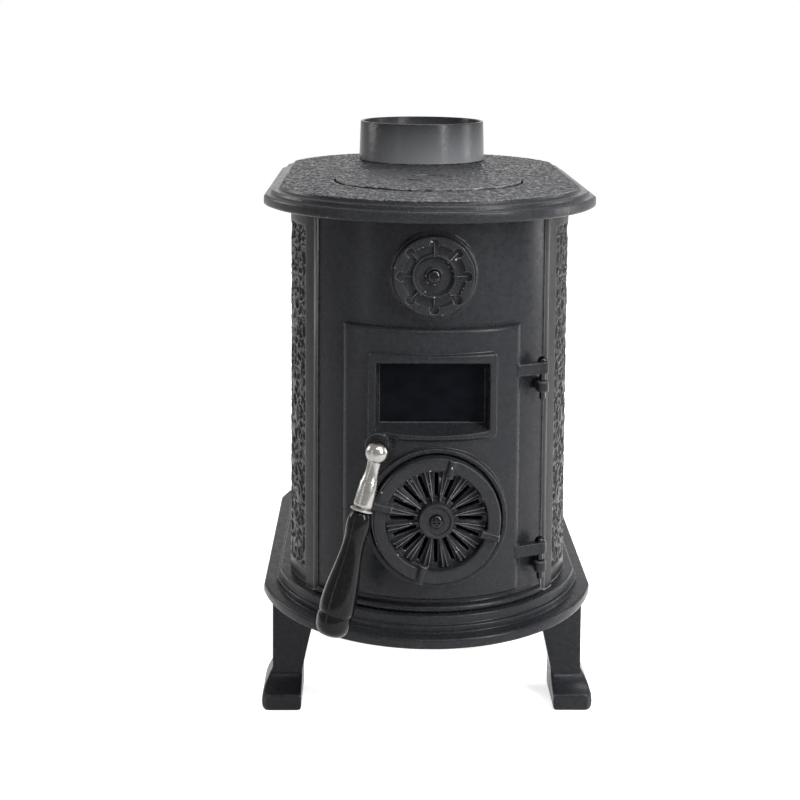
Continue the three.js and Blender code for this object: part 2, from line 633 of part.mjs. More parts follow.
add('top_plate', topPlate(), TOP_PAINT, 0, 0, TOP_BOTTOM);
add('hotplate_lid', lid(), TOP_PAINT, 0, LID_Y, FIELD_TOP + LID.proud - LID.thickness);
add('flue_collar', collar(), CAST_PAINT, 0, COLLAR_Y, FIELD_TOP + GAP);
const earTop = FIELD_TOP + GAP + EAR.thickness;
for (const [name, side] of [['left', -1], ['right', 1]]) {
  const screw = panScrew(COLLAR_SCREW, EAR.thickness + DECK);
  add(`collar_screw_${name}`, screw, DARK_STEEL, side * EAR_X, COLLAR_Y, earTop + GAP);
}

// ---------------------------------------------------------------- door
// Plan of the door leaf with its two front corners rounded.
function doorPlan() {
  const { halfWidth, round } = DOOR;
  const shape = new THREE.Shape();
  const near = Math.asin((halfWidth - round) / DOOR_FACE);
  const cornerY = -arcDepth(DOOR_FACE, halfWidth);
  shape.moveTo(-halfWidth, -ARC_CENTRE);
  shape.lineTo(-halfWidth, cornerY + round);
  const start = -Math.PI / 2 - near;
  const firstX = DOOR_FACE * Math.cos(start);
  const firstY = -ARC_CENTRE + DOOR_FACE * Math.sin(start);
  shape.quadraticCurveTo(-halfWidth, cornerY, firstX, firstY);
  shape.absarc(0, -ARC_CENTRE, DOOR_FACE, start, -Math.PI / 2 + near, false);
  shape.quadraticCurveTo(halfWidth, cornerY, halfWidth, cornerY + round);
  shape.lineTo(halfWidth, -ARC_CENTRE);
  return shape;
}

// Slanted arm from the door's edge to the hinge eye, kept clear of the plate behind it.
function hingeArm(bottom) {
  const x0 = DOOR.halfWidth - HINGE_ARM.bite;
  const bar = polygon([
    [x0, -arcDepth(DOOR_BACK, x0) - HINGE_ARM.bevel],
    [x0, -arcDepth(DOOR_FACE, x0) - HINGE_ARM.proud],
    [HINGE_X, -HINGE_Y - HINGE.eye + HINGE_ARM.bevel / 2],
    [HINGE_X, -HINGE_Y + HINGE.eye - 2 * HINGE_ARM.bevel],
  ]);
  return prism(bar, bottom, bottom + HINGE.armHeight)
    .add(upright(HINGE.eye, bottom, bottom + HINGE.armHeight, HINGE_X, -HINGE_Y));
}

// Rectangular funnel: narrow at the glass, wide at the door's face.
function windowFunnel(seat) {
  const { halfWidth, height, bevel } = WINDOW;
  const face = ARC_CENTRE + DOOR_FACE + WINDOW.proud;
  const middle = (WINDOW_TOP + WINDOW_BOTTOM) / 2;
  const side = face - seat;
  const geometry = new THREE.CylinderGeometry(Math.SQRT1_2, Math.SQRT1_2, side, 4, 1);
  geometry.rotateY(Math.PI / 4);
  const position = geometry.attributes.position;
  for (let i = 0; i < position.count; i += 1) {
    const wide = position.getY(i) < 0 ? bevel : 0;
    const x = position.getX(i) * 2 * (halfWidth + wide);
    const z = position.getZ(i) * (height + 2 * wide);
    position.setXYZ(i, x, position.getY(i) - (face + seat) / 2, z + middle);
  }
  return solid(geometry);
}

// The gasket lies on the seat, the pane behind the gasket, the clips behind the pane.
const GLASS_FRONT = arcDepth(DOOR_BACK, WINDOW.halfWidth + GLASS.lap) - GAP - GLASS.gasket;
const GLASS_BACK = GLASS_FRONT - GLASS.gasket - GLASS.thickness - 2 * GAP;
const PANE_HALF = WINDOW.halfWidth + GLASS.lap;
const CLIP_HEIGHTS = [WINDOW_BOTTOM + CLIP.inset, WINDOW_TOP - CLIP.inset];
const CLIP_INNER = PANE_HALF + CLIP.clear;
const CLIP_SCREW_X = CLIP_INNER + CLIP.boss / 2;
const WHEEL_BACK = WHEEL_BOSS_FACE - WHEEL_BOSS.recess + GAP;

function doorLeaf() {
  const { thickness, round } = DOOR;
  const leafRing = turnedOnEndArc(roundedRing(DOOR_BACK, DOOR_FACE, DOOR_BOTTOM, DOOR_TOP, round));
  const panel = leafRing.intersect(prism(doorPlan(), DOOR_BOTTOM - 1, DOOR_TOP + 1));

  const { halfWidth, proud, bevel } = WINDOW;
  const frameBand = halfWidth + bevel + FRAME.side;
  const frameRing = turnedOnEndArc(roundedRing(DOOR_FACE - thickness / 2, DOOR_FACE + proud,
    WINDOW_BOTTOM - bevel - FRAME.bottom, WINDOW_TOP + bevel + FRAME.top, proud / 2));
  const windowFrame = frameRing.intersect(block(-frameBand, frameBand, -REACH, -ARC_CENTRE, 0, REACH));

  // Everything behind the leaf stays inside its outer face.
  const behind = upright(DOOR_BACK + 1, 0, REACH, 0, -ARC_CENTRE, END_TURN);
  const seatHalf = halfWidth + GLASS.seat;
  const seat = block(-seatHalf, seatHalf, -REACH, -GLASS_FRONT,
    WINDOW_BOTTOM - GLASS.lap, WINDOW_TOP + GLASS.seat);
  const lugs = [-1, 1].flatMap((side) => CLIP_HEIGHTS.map((height) => {
    const outer = CLIP_INNER + CLIP.boss;
    return block(Math.min(side * CLIP_INNER, side * outer), Math.max(side * CLIP_INNER, side * outer),
      -REACH, -GLASS_BACK, height - CLIP.width / 2, height + CLIP.width / 2);
  }));

  const plateFront = WHEEL_BOSS_FACE - WHEEL_BOSS.recess;
  const onWheel = (size, near, far, steps) => forward(size, near, far, WHEEL.x, WHEEL_HEIGHT, steps);
  const bossBack = arcDepth(DOOR_BACK, WHEEL_BOSS_RADIUS + WHEEL.x);
  const wheelBoss = onWheel(WHEEL_BOSS_RADIUS, bossBack, WHEEL_BOSS_FACE, PLATE_TURN).subtract(behind);
  const dish = onWheel(WHEEL_BOSS_RADIUS - WHEEL_BOSS.rim, plateFront, REACH, PLATE_TURN);
  const pocket = onWheel(WHEEL_BOSS.pocket, 0, plateFront - WHEEL_BOSS.plate, ROUND);
  const post = onWheel(WHEEL_POST.radius, plateFront - WHEEL_POST.length, plateFront - 1, SMALL_ROUND);
  const spindleFace = BODY_FRONT + HANDLE_BOSS.proud;
  const spindleBoss = forward(HANDLE_BOSS.radius, bossBack, spindleFace, -HANDLE_X, HANDLE_HEIGHT, ROUND)
    .subtract(behind);

  let door = union([panel, windowFrame, seat.intersect(behind), union(lugs).intersect(behind)]);
  door = door.subtract(windowFunnel(GLASS_FRONT - 1));
  door = union([door, wheelBoss, spindleBoss]).subtract(dish).subtract(pocket);
  door = door.add(post).subtract(airSlots());
  door = door.subtract(onWheel(boreRadius(PAN_SCREW.radius), 0, REACH, SMALL_ROUND));
  door = door.subtract(forward(boreRadius(SPINDLE.radius), 0, REACH, -HANDLE_X, HANDLE_HEIGHT));
  const screwEnd = GLASS_BACK + CLIP_SCREW.length - CLIP_SCREW.tip;
  for (const side of [-1, 1]) {
    for (const height of CLIP_HEIGHTS) {
      const hole = forward(CLIP_SCREW.radius + GAP, 0, screwEnd, side * CLIP_SCREW_X, height, LOBE_ROUND);
      door = door.subtract(hole);
    }
  }
  for (const arm of HINGE_ARMS) {
    const top = arm + HINGE.armHeight + 1;
    const bore = upright(boreRadius(HINGE_PIN.radius), arm - 1, top, HINGE_X, -HINGE_Y);
    door = door.add(hingeArm(arm)).subtract(bore);
  }
  return door;
}

// Radial slots of the wheel and of the door behind it, in the wheel's own frame.
function slotRing() {
  const outer = WHEEL.radius - WHEEL.rim - AIR_SLOT.margin;
  const bar = block(AIR_SLOT.inner, outer, -AIR_SLOT.width / 2, AIR_SLOT.width / 2, -REACH, REACH);
  const cuts = [];
  for (let i = 0; i < VANE.count; i += 1) {
    cuts.push(bar.rotate([0, 0, (360 * i) / VANE.count]));
  }
  return union(cuts);
}

function airSlots() {
  const inFront = block(-REACH, REACH, -REACH, REACH, ARC_CENTRE, REACH);
  return slotRing().intersect(inFront).rotate([90, 0, 0]).translate([WHEEL.x, 0, WHEEL_HEIGHT]);
}

// Flat rope seal lying in the rebate around the door opening.
function doorSeal() {
  const half = DOOR.halfWidth - DOOR_LAP - GAP;
  const low = DOOR_BOTTOM + DOOR_LAP + GAP;
  const high = DOOR_TOP - DOOR_LAP - GAP;
  const band = SEAL.width - 2 * GAP;
  const ring = shell(OVERHANG + GAP, OVERHANG + SEAL.depth - GAP, low, high)
    .intersect(block(-half, half, -REACH, -ARC_CENTRE, low - 1, high + 1));
  return ring.subtract(block(-half + band, half - band, -REACH, 0, low + band, high - band));
}

function paneBlock(halfWidth, lap, front, back) {
  return block(-halfWidth, halfWidth, -front, -back, WINDOW_BOTTOM - lap, WINDOW_TOP + lap);
}

function glassClip(side, height) {
  const outer = CLIP_INNER + CLIP.boss;
  const inner = CLIP_INNER - CLIP.reach;
  const tab = block(Math.min(side * inner, side * outer), Math.max(side * inner, side * outer),
    -GLASS_BACK + GAP, -GLASS_BACK + GAP + CLIP.thickness, height - CLIP.width / 2, height + CLIP.width / 2);
  return tab.subtract(forward(CLIP_SCREW.radius + GAP, 0, REACH, side * CLIP_SCREW_X, height, LOBE_ROUND));
}

add('door', doorLeaf(), CAST_PAINT);
add('door_seal', doorSeal(), ROPE);
const gasketLap = GLASS.lap - GAP;
const gasketFront = GLASS_FRONT - GAP;
const gasket = paneBlock(WINDOW.halfWidth + gasketLap, gasketLap, gasketFront, gasketFront - GLASS.gasket)
  .subtract(paneBlock(WINDOW.halfWidth, 0, REACH, 0));
add('glass_gasket', gasket, ROPE);
const paneFront = GLASS_FRONT - GLASS.gasket - 2 * GAP;
add('window_glass', paneBlock(PANE_HALF, gasketLap, paneFront, paneFront - GLASS.thickness), GLASS_PANE);
const { radius: clipShank, head: clipHead, headHeight, length: clipLength, tip } = CLIP_SCREW;
const clipScrew = upright(clipShank, tip - clipLength, headHeight / 2, 0, 0, LOBE_ROUND)
  .add(upright(clipHead, 0, headHeight, 0, 0, LOBE_ROUND));
const clipScrewY = -GLASS_BACK + 2 * GAP + CLIP.thickness;
for (const [sideName, side] of [['left', -1], ['right', 1]]) {
  for (const [levelName, height] of [['lower', CLIP_HEIGHTS[0]], ['upper', CLIP_HEIGHTS[1]]]) {
    add(`glass_clip_${levelName}_${sideName}`, glassClip(side, height), STEEL);
    const name = `clip_screw_${levelName}_${sideName}`;
    const mesh = add(name, clipScrew, STEEL, side * CLIP_SCREW_X, clipScrewY, height);
    mesh.rotation.x = -Math.PI / 2;
  }
}

// ---------------------------------------------------------------- hinge pins
function hingePin() {
  const { radius, head, dome, tail } = HINGE_PIN;
  const shank = HINGE.armHeight + HINGE.play + HINGE.knuckleHeight + tail;
  const profile = [
    [0, -shank],
    [radius - GAP, -shank],
    [radius, -shank + 1],
    [radius, 0],
    [head, 0],
    ...corner(0, 0, head, 12, 90, 4).map(([across, up]) => [across, (up * dome) / head]),
  ];
  return turned(profile, SMALL_ROUND);
}

[['lower', HINGE_ARMS[0]], ['upper', HINGE_ARMS[1]]].forEach(([name, arm]) => {
  add(`hinge_pin_${name}`, hingePin(), DARK_STEEL, HINGE_X, -HINGE_Y, arm + HINGE.armHeight + GAP);
});

// ---------------------------------------------------------------- air wheel
// Vane between two slots: it widens with the radius and carries two crests with a notch between them.
function vane(angle) {
  const inner = WHEEL.hub - 2;
  const outer = WHEEL.radius - WHEEL.rim - VANE.groove;
  const { crest, notch } = VANE;
  const section = polygon([[-1, 0], [1, 0], [crest, 1], [0, notch], [-crest, 1]]);
  const geometry = new THREE.ExtrudeGeometry(section, { depth: outer - inner, bevelEnabled: false });
  const position = geometry.attributes.position;
  for (let i = 0; i < position.count; i += 1) {
    const radius = inner + position.getZ(i);
    const half = (radius * Math.PI) / VANE.count - AIR_SLOT.width / 2 - VANE.edge;
    const lift = WHEEL.web / 2 + position.getY(i) * (VANE.height - WHEEL.web / 2);
    position.setXYZ(i, radius, position.getX(i) * half, lift);
  }
  geometry.rotateZ(angle);
  return solid(geometry);
}

// Wheel in its own frame: z = 0 is its back face, +z towards the viewer.
function airWheel() {
  const { radius, rim, thickness, web, hub } = WHEEL;
  const inner = radius - rim;
  const profile = [
    [0, 0],
    [radius - 1, 0],
    ...corner(radius - 2, thickness - 2, 2, 0, 90),
    ...corner(inner + 1.5, thickness - 1.5, 1.5, 90, 180),
    [inner, web],
    [hub, web],
    ...corner(hub - 1, thickness - 1, 1, 0, 90),
    [HUB_DISH.radius + GAP, thickness],
    [HUB_DISH.radius, thickness - HUB_DISH.depth],
    [0, thickness - HUB_DISH.depth],
  ];
  const vanes = [];
  for (let i = 0; i < VANE.count; i += 1) {
    vanes.push(vane((2 * Math.PI * (i + 0.5)) / VANE.count));
  }
  const nubs = [];
  for (let i = 0; i < GRIP_NUB.count; i += 1) {
    const { radius: size, length } = GRIP_NUB;
    const geometry = new THREE.CylinderGeometry(size, size, length, LOBE_ROUND);
    geometry.rotateZ(Math.PI / 2);
    geometry.rotateX(Math.PI / LOBE_ROUND);
    geometry.translate(radius - length / 2, 0, thickness);
    geometry.rotateZ(THREE.MathUtils.degToRad(GRIP_NUB.angle + (360 * i) / GRIP_NUB.count));
    nubs.push(solid(geometry));
  }
  // A quarter step keeps the disc's facet edges off the middles of the vanes.
  const disc = turned(profile, DISC_TURN).rotate([0, 0, 90 / DISC_TURN]);
  return union([disc, ...vanes])
    .subtract(slotRing())
    .add(union(nubs))
    .subtract(upright(boreRadius(PAN_SCREW.radius), -1, REACH));
}

const wheelMesh = add('air_wheel', airWheel(), CAST_PAINT, WHEEL.x, -WHEEL_BACK, WHEEL_HEIGHT);
wheelMesh.rotation.x = Math.PI / 2;
const wheelSeat = WHEEL.thickness - HUB_DISH.depth;
const wheelScrew = add('air_wheel_screw', panScrew(PAN_SCREW, wheelSeat + PAN_SCREW.bite), DARK_STEEL,
  WHEEL.x, -WHEEL_BACK - wheelSeat - GAP, WHEEL_HEIGHT);
wheelScrew.rotation.x = Math.PI / 2;

// ---------------------------------------------------------------- upper damper
// Pointed ridge lying along the radius, from the inner ring down to the floor of a pocket.
function cusp(angle) {
  const { halfWidth, start, end, sunk } = CUSP;
  const rise = DAMPER.thickness - DAMPER.floor;
  const geometry = new THREE.ConeGeometry(1, end - start, 4, 1);
  geometry.rotateZ(-Math.PI / 2);
  geometry.scale(1, rise, halfWidth);
  geometry.rotateX(Math.PI / 2);
  geometry.translate((start + end) / 2, 0, DAMPER.floor - sunk);
  geometry.rotateZ(angle);
  return solid(geometry);
}

// Round damper in its own frame: z = 0 is its back face, +z towards the viewer.
function damper() {
  const { radius, thickness, floor, hub, hubHeight } = DAMPER;
  const { inner, outer, dish } = CHANNEL;
  const profile = [
    [0, 0],
    [radius, 0],
    ...corner(radius - 1, thickness - 1, 1, 0, 90),
    [outer + 0.6, thickness],
    [outer, floor],
    [inner, floor],
    [inner - 0.6, thickness],
    [dish + 0.8, thickness],
    [dish, floor - 0.6],
    [hub + 0.6, floor - 0.6],
    [hub - 1, hubHeight],
    [0, hubHeight],
  ];
  let body = turned(profile, DISC_TURN);
  const cusps = [];
  for (let i = 0; i < POCKET.count; i += 1) {
    const turn = (2 * Math.PI * i) / POCKET.count;
    const x = POCKET.ring * Math.cos(turn);
    const y = POCKET.ring * Math.sin(turn);
    body = body.subtract(upright(POCKET.radius, floor, REACH, x, y, LOBE_ROUND));
    cusps.push(cusp(turn));
  }
  return body.add(union(cusps)).subtract(upright(boreRadius(PAN_SCREW.radius), -1, REACH));
}

const damperMesh = add('upper_damper', damper(), CAST_PAINT, 0, -DAMPER_BOSS_FACE - GAP, DAMPER_HEIGHT);
damperMesh.rotation.x = Math.PI / 2;
const damperShank = panScrew(PAN_SCREW, DAMPER.hubHeight + PAN_SCREW.bite);
const damperScrew = add('upper_damper_screw', damperShank, DARK_STEEL,
  0, -DAMPER_BOSS_FACE - DAMPER.hubHeight - 2 * GAP, DAMPER_HEIGHT);
damperScrew.rotation.x = Math.PI / 2;

// ---------------------------------------------------------------- door handle
// Turns a solid made along +z so that it hangs from the ball along the handle's lean.
function alongHandle(body) {
  const turn = new THREE.Quaternion().setFromUnitVectors(new THREE.Vector3(0, 0, 1), HANDLE_LEAN);
  const euler = new THREE.Euler().setFromQuaternion(turn, 'ZYX');
  return body.rotate([euler.x, euler.y, euler.z].map(THREE.MathUtils.radToDeg));
}

// Ball, shank towards the door, neck and ferrule; the origin is the ball's centre.
function handleKnuckle() {
  const ball = solid(new THREE.SphereGeometry(HANDLE.ballRadius, SMALL_ROUND, 10).rotateX(Math.PI / 2));
  const shank = forward(HANDLE.shank, HANDLE_BOSS.proud + GAP - HANDLE.ballProud, 0, 0, 0);
  const { start, radius, flare, ferrule, sleeve, rim, lip, end } = NECK;
  const profile = [
    [0, start],
    [radius + flare, start],
    [radius, (start + ferrule) / 2],
    [radius + flare, ferrule - 1],
    [sleeve - 1, ferrule],
    [sleeve, end - lip - 1],
    [rim, end - lip],
    [rim, end - 1],
    [rim - 1, end],
    [GRIP.tang, end],
    [GRIP.tang, end + GRIP.tangLength],
    [0, end + GRIP.tangLength],
  ];
  const bore = forward(SPINDLE.radius + GAP, -REACH, SPINDLE.front - HANDLE.ballProud + GAP, 0, 0);
  return union([ball, shank, alongHandle(turned(profile, SMALL_ROUND))]).subtract(bore);
}

// Swelling grip with a grooved end knob, as shares of its radius and length from its upper end.
const GRIP_OUTLINE = [
  [0, 0], [0.54, 0], [0.65, 0.03], [0.7, 0.085], [0.68, 0.14], [0.6, 0.25], [0.7, 0.4], [0.9, 0.59],
  [1, 0.74], [0.985, 0.8], [0.92, 0.815], [0.96, 0.832], [0.95, 0.905], [0.83, 0.958], [0.51, 0.992], [0, 1],
];

function handleGrip() {
  const profile = GRIP_OUTLINE.map(([across, along]) => [across * GRIP.radius, along * GRIP.length]);
  const tang = upright(GRIP.tang + GAP, -1, GRIP.tangLength + 2 * GAP);
  return turned(profile, SMALL_ROUND).subtract(tang);
}

const ballAt = new THREE.Vector3(-HANDLE_X, -HANDLE_BALL, HANDLE_HEIGHT);
const gripAt = HANDLE_LEAN.clone().multiplyScalar(NECK.end + GAP).add(ballAt);
add('handle_knuckle', handleKnuckle(), NICKEL, ballAt.x, ballAt.y, ballAt.z);
add('handle_grip', alongHandle(handleGrip()), BLACK_GRIP, gripAt.x, gripAt.y, gripAt.z);
const spindle = forward(SPINDLE.radius, BODY_FRONT - SPINDLE.back, BODY_FRONT + SPINDLE.front, 0, 0);
add('handle_spindle', spindle, STEEL, -HANDLE_X, 0, HANDLE_HEIGHT);

// Tongue that hangs at rest and turns behind the front plate's edge; z = 0 is the spindle's axis.
const CAM_BACK = BODY_FRONT - CAM.behind - CAM.thickness;

function latchCam() {
  const front = CAM_BACK + CAM.thickness;
  const hub = forward(CAM.hub, CAM_BACK, front, 0, 0);
  const tongue = block(-CAM.width / 2, CAM.width / 2, -front, -CAM_BACK, -CAM.length, 0);
  return hub.add(tongue).subtract(forward(SPINDLE.radius + GAP, 0, REACH, 0, 0));
}

add('latch_cam', latchCam(), STEEL, -HANDLE_X, 0, HANDLE_HEIGHT);
const spindleNut = hexagon(SPINDLE_NUT.width, 0, SPINDLE_NUT.height)
  .subtract(upright(SPINDLE.radius + GAP, -1, REACH));
const nutMesh = add('spindle_nut', spindleNut, DARK_STEEL, -HANDLE_X, -CAM_BACK + GAP, HANDLE_HEIGHT);
nutMesh.rotation.x = -Math.PI / 2;

// ---------------------------------------------------------------- firebox
function grate() {
  const { thickness, slots, slotWidth, margin } = GRATE;
  const front = -ARC_CENTRE - GRATE.front;
  const back = ARC_CENTRE + GRATE.back;
  const rear = back - margin - BRICK.thickness;
  let plate = block(-GRATE_HALF_WIDTH, GRATE_HALF_WIDTH, front, back, 0, thickness);
  const pitch = (2 * (GRATE_HALF_WIDTH - LEDGE.width - margin)) / slots;
  for (let i = 0; i < slots; i += 1) {
    const x = (i - (slots - 1) / 2) * pitch;
    const slot = block(x - slotWidth / 2, x + slotWidth / 2, front + margin, rear, -1, thickness + 1);
    plate = plate.subtract(slot);
  }
  return plate;
}

function ashPan() {
  const { halfWidth, height, wall, handle } = ASH_PAN;
  const front = -ARC_CENTRE - ASH_PAN.front;
  const back = ARC_CENTRE + ASH_PAN.back;
  const tray = block(-halfWidth, halfWidth, front, back, 0, height)
    .subtract(block(-halfWidth + wall, halfWidth - wall, front + wall, back - wall, wall, REACH));
  const lip = block(-halfWidth / 3, halfWidth / 3, front - handle, front + wall / 2, height - wall, height);
  return tray.add(lip);
}

const grateBottom = LEDGE_TOP + GAP;
const brickBottom = grateBottom + GRATE.thickness + GAP;
const brickInner = GRATE_HALF_WIDTH - BRICK.thickness;
const brickBack = ARC_CENTRE + GRATE.back - BRICK.thickness - 2 * GAP;
const baffleBottom = PANEL_TOP - BAFFLE.belowTop;
const brickHeight = baffleBottom - GAP - brickBottom;
add('grate', grate(), CAST_PAINT, 0, 0, grateBottom);
add('ash_pan', ashPan(), GALVANISED, 0, 0, PANEL_BOTTOM);
const sideBrick = block(0, BRICK.thickness, -ARC_CENTRE - BRICK.front, brickBack, 0, brickHeight);
add('side_brick_right', sideBrick, BRICK_BOARD, brickInner, 0, brickBottom);
add('side_brick_left', sideBrick, BRICK_BOARD, -brickInner - BRICK.thickness, 0, brickBottom);
const rearBrick = block(-GRATE_HALF_WIDTH, GRATE_HALF_WIDTH, 0, BRICK.thickness, 0, brickHeight);
add('rear_brick', rearBrick, BRICK_BOARD, 0, brickBack + GAP, brickBottom);

function baffle() {
  const { thickness, front, back, inset, notch } = BAFFLE;
  let plate = oval(OVERHANG + WALL + inset, 0, thickness)
    .intersect(block(-REACH, REACH, -ARC_CENTRE - front, ARC_CENTRE + back, -1, REACH));
  for (const side of [-1, 1]) {
    plate = plate.subtract(upright(TIE_ROD.radius + notch, -1, REACH, side * TIE_ROD_X, TIE_ROD_Y));
  }
  return plate;
}

add('baffle', baffle(), CAST_PAINT, 0, 0, baffleBottom);

const nutBottom = BASE_TOP - DECK - GAP - ROD_NUT.height;
const tieRod = upright(TIE_ROD.radius, nutBottom + GAP - TIE_ROD.tail, TOP_BOTTOM + TIE_ROD.bite);
const rodNut = hexagon(ROD_NUT.width, 0, ROD_NUT.height)
  .subtract(upright(TIE_ROD.radius + GAP, -1, REACH));
for (const { name, x, y } of CORNERS) {
  add(`tie_rod_${name}`, tieRod, DARK_STEEL, x * TIE_ROD_X, y * TIE_ROD_Y);
  add(`tie_rod_nut_${name}`, rodNut, DARK_STEEL, x * TIE_ROD_X, y * TIE_ROD_Y, nutBottom);
}

// The origin is the middle of the whole footprint on the floor, handle included.
const extent = new THREE.Box3().setFromObject(stove, true);
placed.position.y = -(extent.min.y + extent.max.y) / 2;

export default stove;
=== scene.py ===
"""Looks of a small cast-iron stove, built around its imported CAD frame.

Shapes are worked out in millimetres about the middle of the oval plan, with +Z up and the door
facing -Y, and turned into metres of the frame as each mesh is made.
"""

import json
import math

import bmesh
import bpy
from mathutils import Matrix, Vector, noise


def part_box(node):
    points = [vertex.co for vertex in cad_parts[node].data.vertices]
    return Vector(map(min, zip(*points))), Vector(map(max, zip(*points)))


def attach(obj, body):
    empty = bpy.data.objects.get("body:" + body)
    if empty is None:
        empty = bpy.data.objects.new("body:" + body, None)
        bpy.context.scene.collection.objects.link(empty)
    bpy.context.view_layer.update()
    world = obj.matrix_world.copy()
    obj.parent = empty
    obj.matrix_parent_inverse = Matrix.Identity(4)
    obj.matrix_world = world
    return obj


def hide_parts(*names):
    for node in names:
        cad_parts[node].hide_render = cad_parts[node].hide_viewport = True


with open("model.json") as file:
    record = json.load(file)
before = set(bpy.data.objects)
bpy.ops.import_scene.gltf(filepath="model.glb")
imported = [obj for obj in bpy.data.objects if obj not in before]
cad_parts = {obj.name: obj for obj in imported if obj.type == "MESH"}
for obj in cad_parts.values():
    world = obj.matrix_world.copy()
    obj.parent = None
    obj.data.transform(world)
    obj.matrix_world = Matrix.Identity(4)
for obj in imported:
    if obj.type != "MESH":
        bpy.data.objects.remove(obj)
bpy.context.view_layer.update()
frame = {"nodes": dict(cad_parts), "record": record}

MM = 0.001
MIDDLE_Y = sum(corner.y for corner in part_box("base_plate")) / 2

# ---------------------------------------------------------------- sizes, in millimetres
PLATE_HALF_WIDTH = 138.4
PLATE_ARC_RADIUS = 142.4
ARC_CENTRE = 72
OVERHANG = 22.4
BODY_RADIUS = 120
BODY_HALF_WIDTH = 116
WALL = 6
SEAM = 91
GAP = 0.3

BASE_BOTTOM = 87.9
BASE_TIERS = [(0, 8.4), (10.9, 14), (13.9, 20.9)]
BODY_BOTTOM = 109.1
BODY_TOP = 419
TOP_BOTTOM = 419.3
TOP_TIERS = [(0, 9.2), (6, 12.9), (13, 16.7)]
FIELD_TOP = TOP_BOTTOM + TOP_TIERS[2][1]
DECK = 7
FIELD = {"wrinkle": 1.0}
TOP_BEARING = 4
LEG_PAD = {"across": (103, 116.2), "along": (70, 122)}

DOOR = {"half": 70, "bottom": 119.8, "top": 335, "back": 120.3, "face": 126, "round": 3, "lap": 6}
SEAL = {"width": 6, "depth": 3}
SILL_BEAD = {"radius": 2.8, "proud": 2.2, "height": 3}
WINDOW = {"half": 41.2, "bottom": 257.7, "top": 304.4, "bevel": 5.4, "proud": 3}
FRAME = {"side": 3.6, "top": 5.6, "bottom": 3.9}
PANE = {"lap": 5.5, "seat": 10, "gasket": 1.5, "thickness": 4}
GLASS_FRONT = ARC_CENTRE + math.sqrt(DOOR["back"] ** 2 - (WINDOW["half"] + PANE["lap"]) ** 2) - GAP - PANE["gasket"]
GLASS_BACK = GLASS_FRONT - PANE["gasket"] - PANE["thickness"] - 2 * GAP
CLIP = {"inner": 48.2, "outer": 56.2, "half": 5, "heights": (262.2, 299.9)}
WHEEL = {"x": 3.1, "height": 187.2, "radius": 50, "inner": 39.6, "thickness": 11, "web": 2.2, "hub": 13.8}
HUB_DISH = {"radius": 10.8, "depth": 1.2}
VANE = {"count": 16, "height": 5.5, "notch": 0.65, "crest": 0.3, "edge": 0.5, "groove": 1.1}
WHEEL_BOSS = {"radius": 55.2, "rim": 3.6, "face": 201, "recess": 4.4, "plate": 4.8, "pocket": 46}
WHEEL_POST = {"radius": 9.2, "length": 15.6}
WHEEL_BACK = WHEEL_BOSS["face"] - WHEEL_BOSS["recess"] + GAP
SLOT = {"width": 2.8, "inner": 17, "outer": 36}
NUB = {"radius": 3.4, "length": 14, "angle": 75, "count": 4}
DAMPER = {"height": 376.8, "radius": 31.3, "thickness": 6.8, "face": 192.4, "boss": 33.6, "floor": 3.4}
CHANNEL = {"inner": 17.6, "outer": 24, "dish": 15, "hub": 7.5, "hub_height": 5.6}
POCKET = {"count": 8, "radius": 3.8, "ring": 25.6, "port": 3}
CUSP = {"half": 3.2, "start": 16.4, "end": 28}
HINGE = {"x": 88.5, "y": -166.04, "eye": 5, "arm": 9.4, "knuckle": 9.2, "play": 6}
HINGE_PIN = {"radius": 2.5, "head": 4.2, "dome": 3.8, "tail": 6}
HINGE_ARMS = (146.6, 293.6)
HANDLE = {"x": -43, "y": -215, "height": 244, "ball": 9, "boss": 9.5, "boss_face": 197, "shank": 5.2}
HANDLE_LEAN = Vector((-34, -20, -131)).normalized()
NECK = {"start": 2, "radius": 5.3, "flare": 1.1, "ferrule": 22, "sleeve": 7.8, "rim": 9.5, "end": 45}
GRIP = {"length": 95, "radius": 13.75}
LID = {"y": -60, "radius": 80, "thickness": 6, "proud": 1.8, "play": 1.8, "lap": 7, "skirt": 3}
MEDALLION = {"radius": 23, "width": 2.8, "proud": 0.9}
COLLAR = {"y": 130, "radius": 62.5, "top": 61.3, "height": 38, "wall": 4.5, "bore": 57}
EAR = {"length": 12, "half": 8, "thickness": 5}
SCREW = {"radius": 2.5, "head": 5.4, "height": 3.8, "bite": 12}
COLLAR_SCREW = {"radius": 3, "head": 6, "height": 3.8}
PILASTER = {"width": 12.6, "proud": 3}
RELIEF = {"depth": 2.5, "border": 12, "margin": 5.5, "step": 0.9, "cell": 8.5, "ridge": 0.3}

FINE = 128  # facets of a full turn that faces the viewer
COARSE = 48  # facets of small turned pieces


# ---------------------------------------------------------------- solids
def place(x, y, z):
    return x * MM, y * MM + MIDDLE_Y, z * MM


def solid(name, points, faces):
    """A closed mesh from millimetre points, with its faces pointing out."""
    mesh = bpy.data.meshes.new(name)
    mesh.from_pydata([place(*point) for point in points], [], faces)
    shape = bmesh.new()
    shape.from_mesh(mesh)
    bmesh.ops.recalc_face_normals(shape, faces=shape.faces)
    shape.to_mesh(mesh)
    shape.free()
    piece = bpy.data.objects.new(name, mesh)
    bpy.context.scene.collection.objects.link(piece)
    return piece


def facing_up(across, along, depth):
    return across, along, depth


def facing_front(across, along, depth):
    return across, -depth, along


def facing_side(across, along, depth):
    return depth, across, along


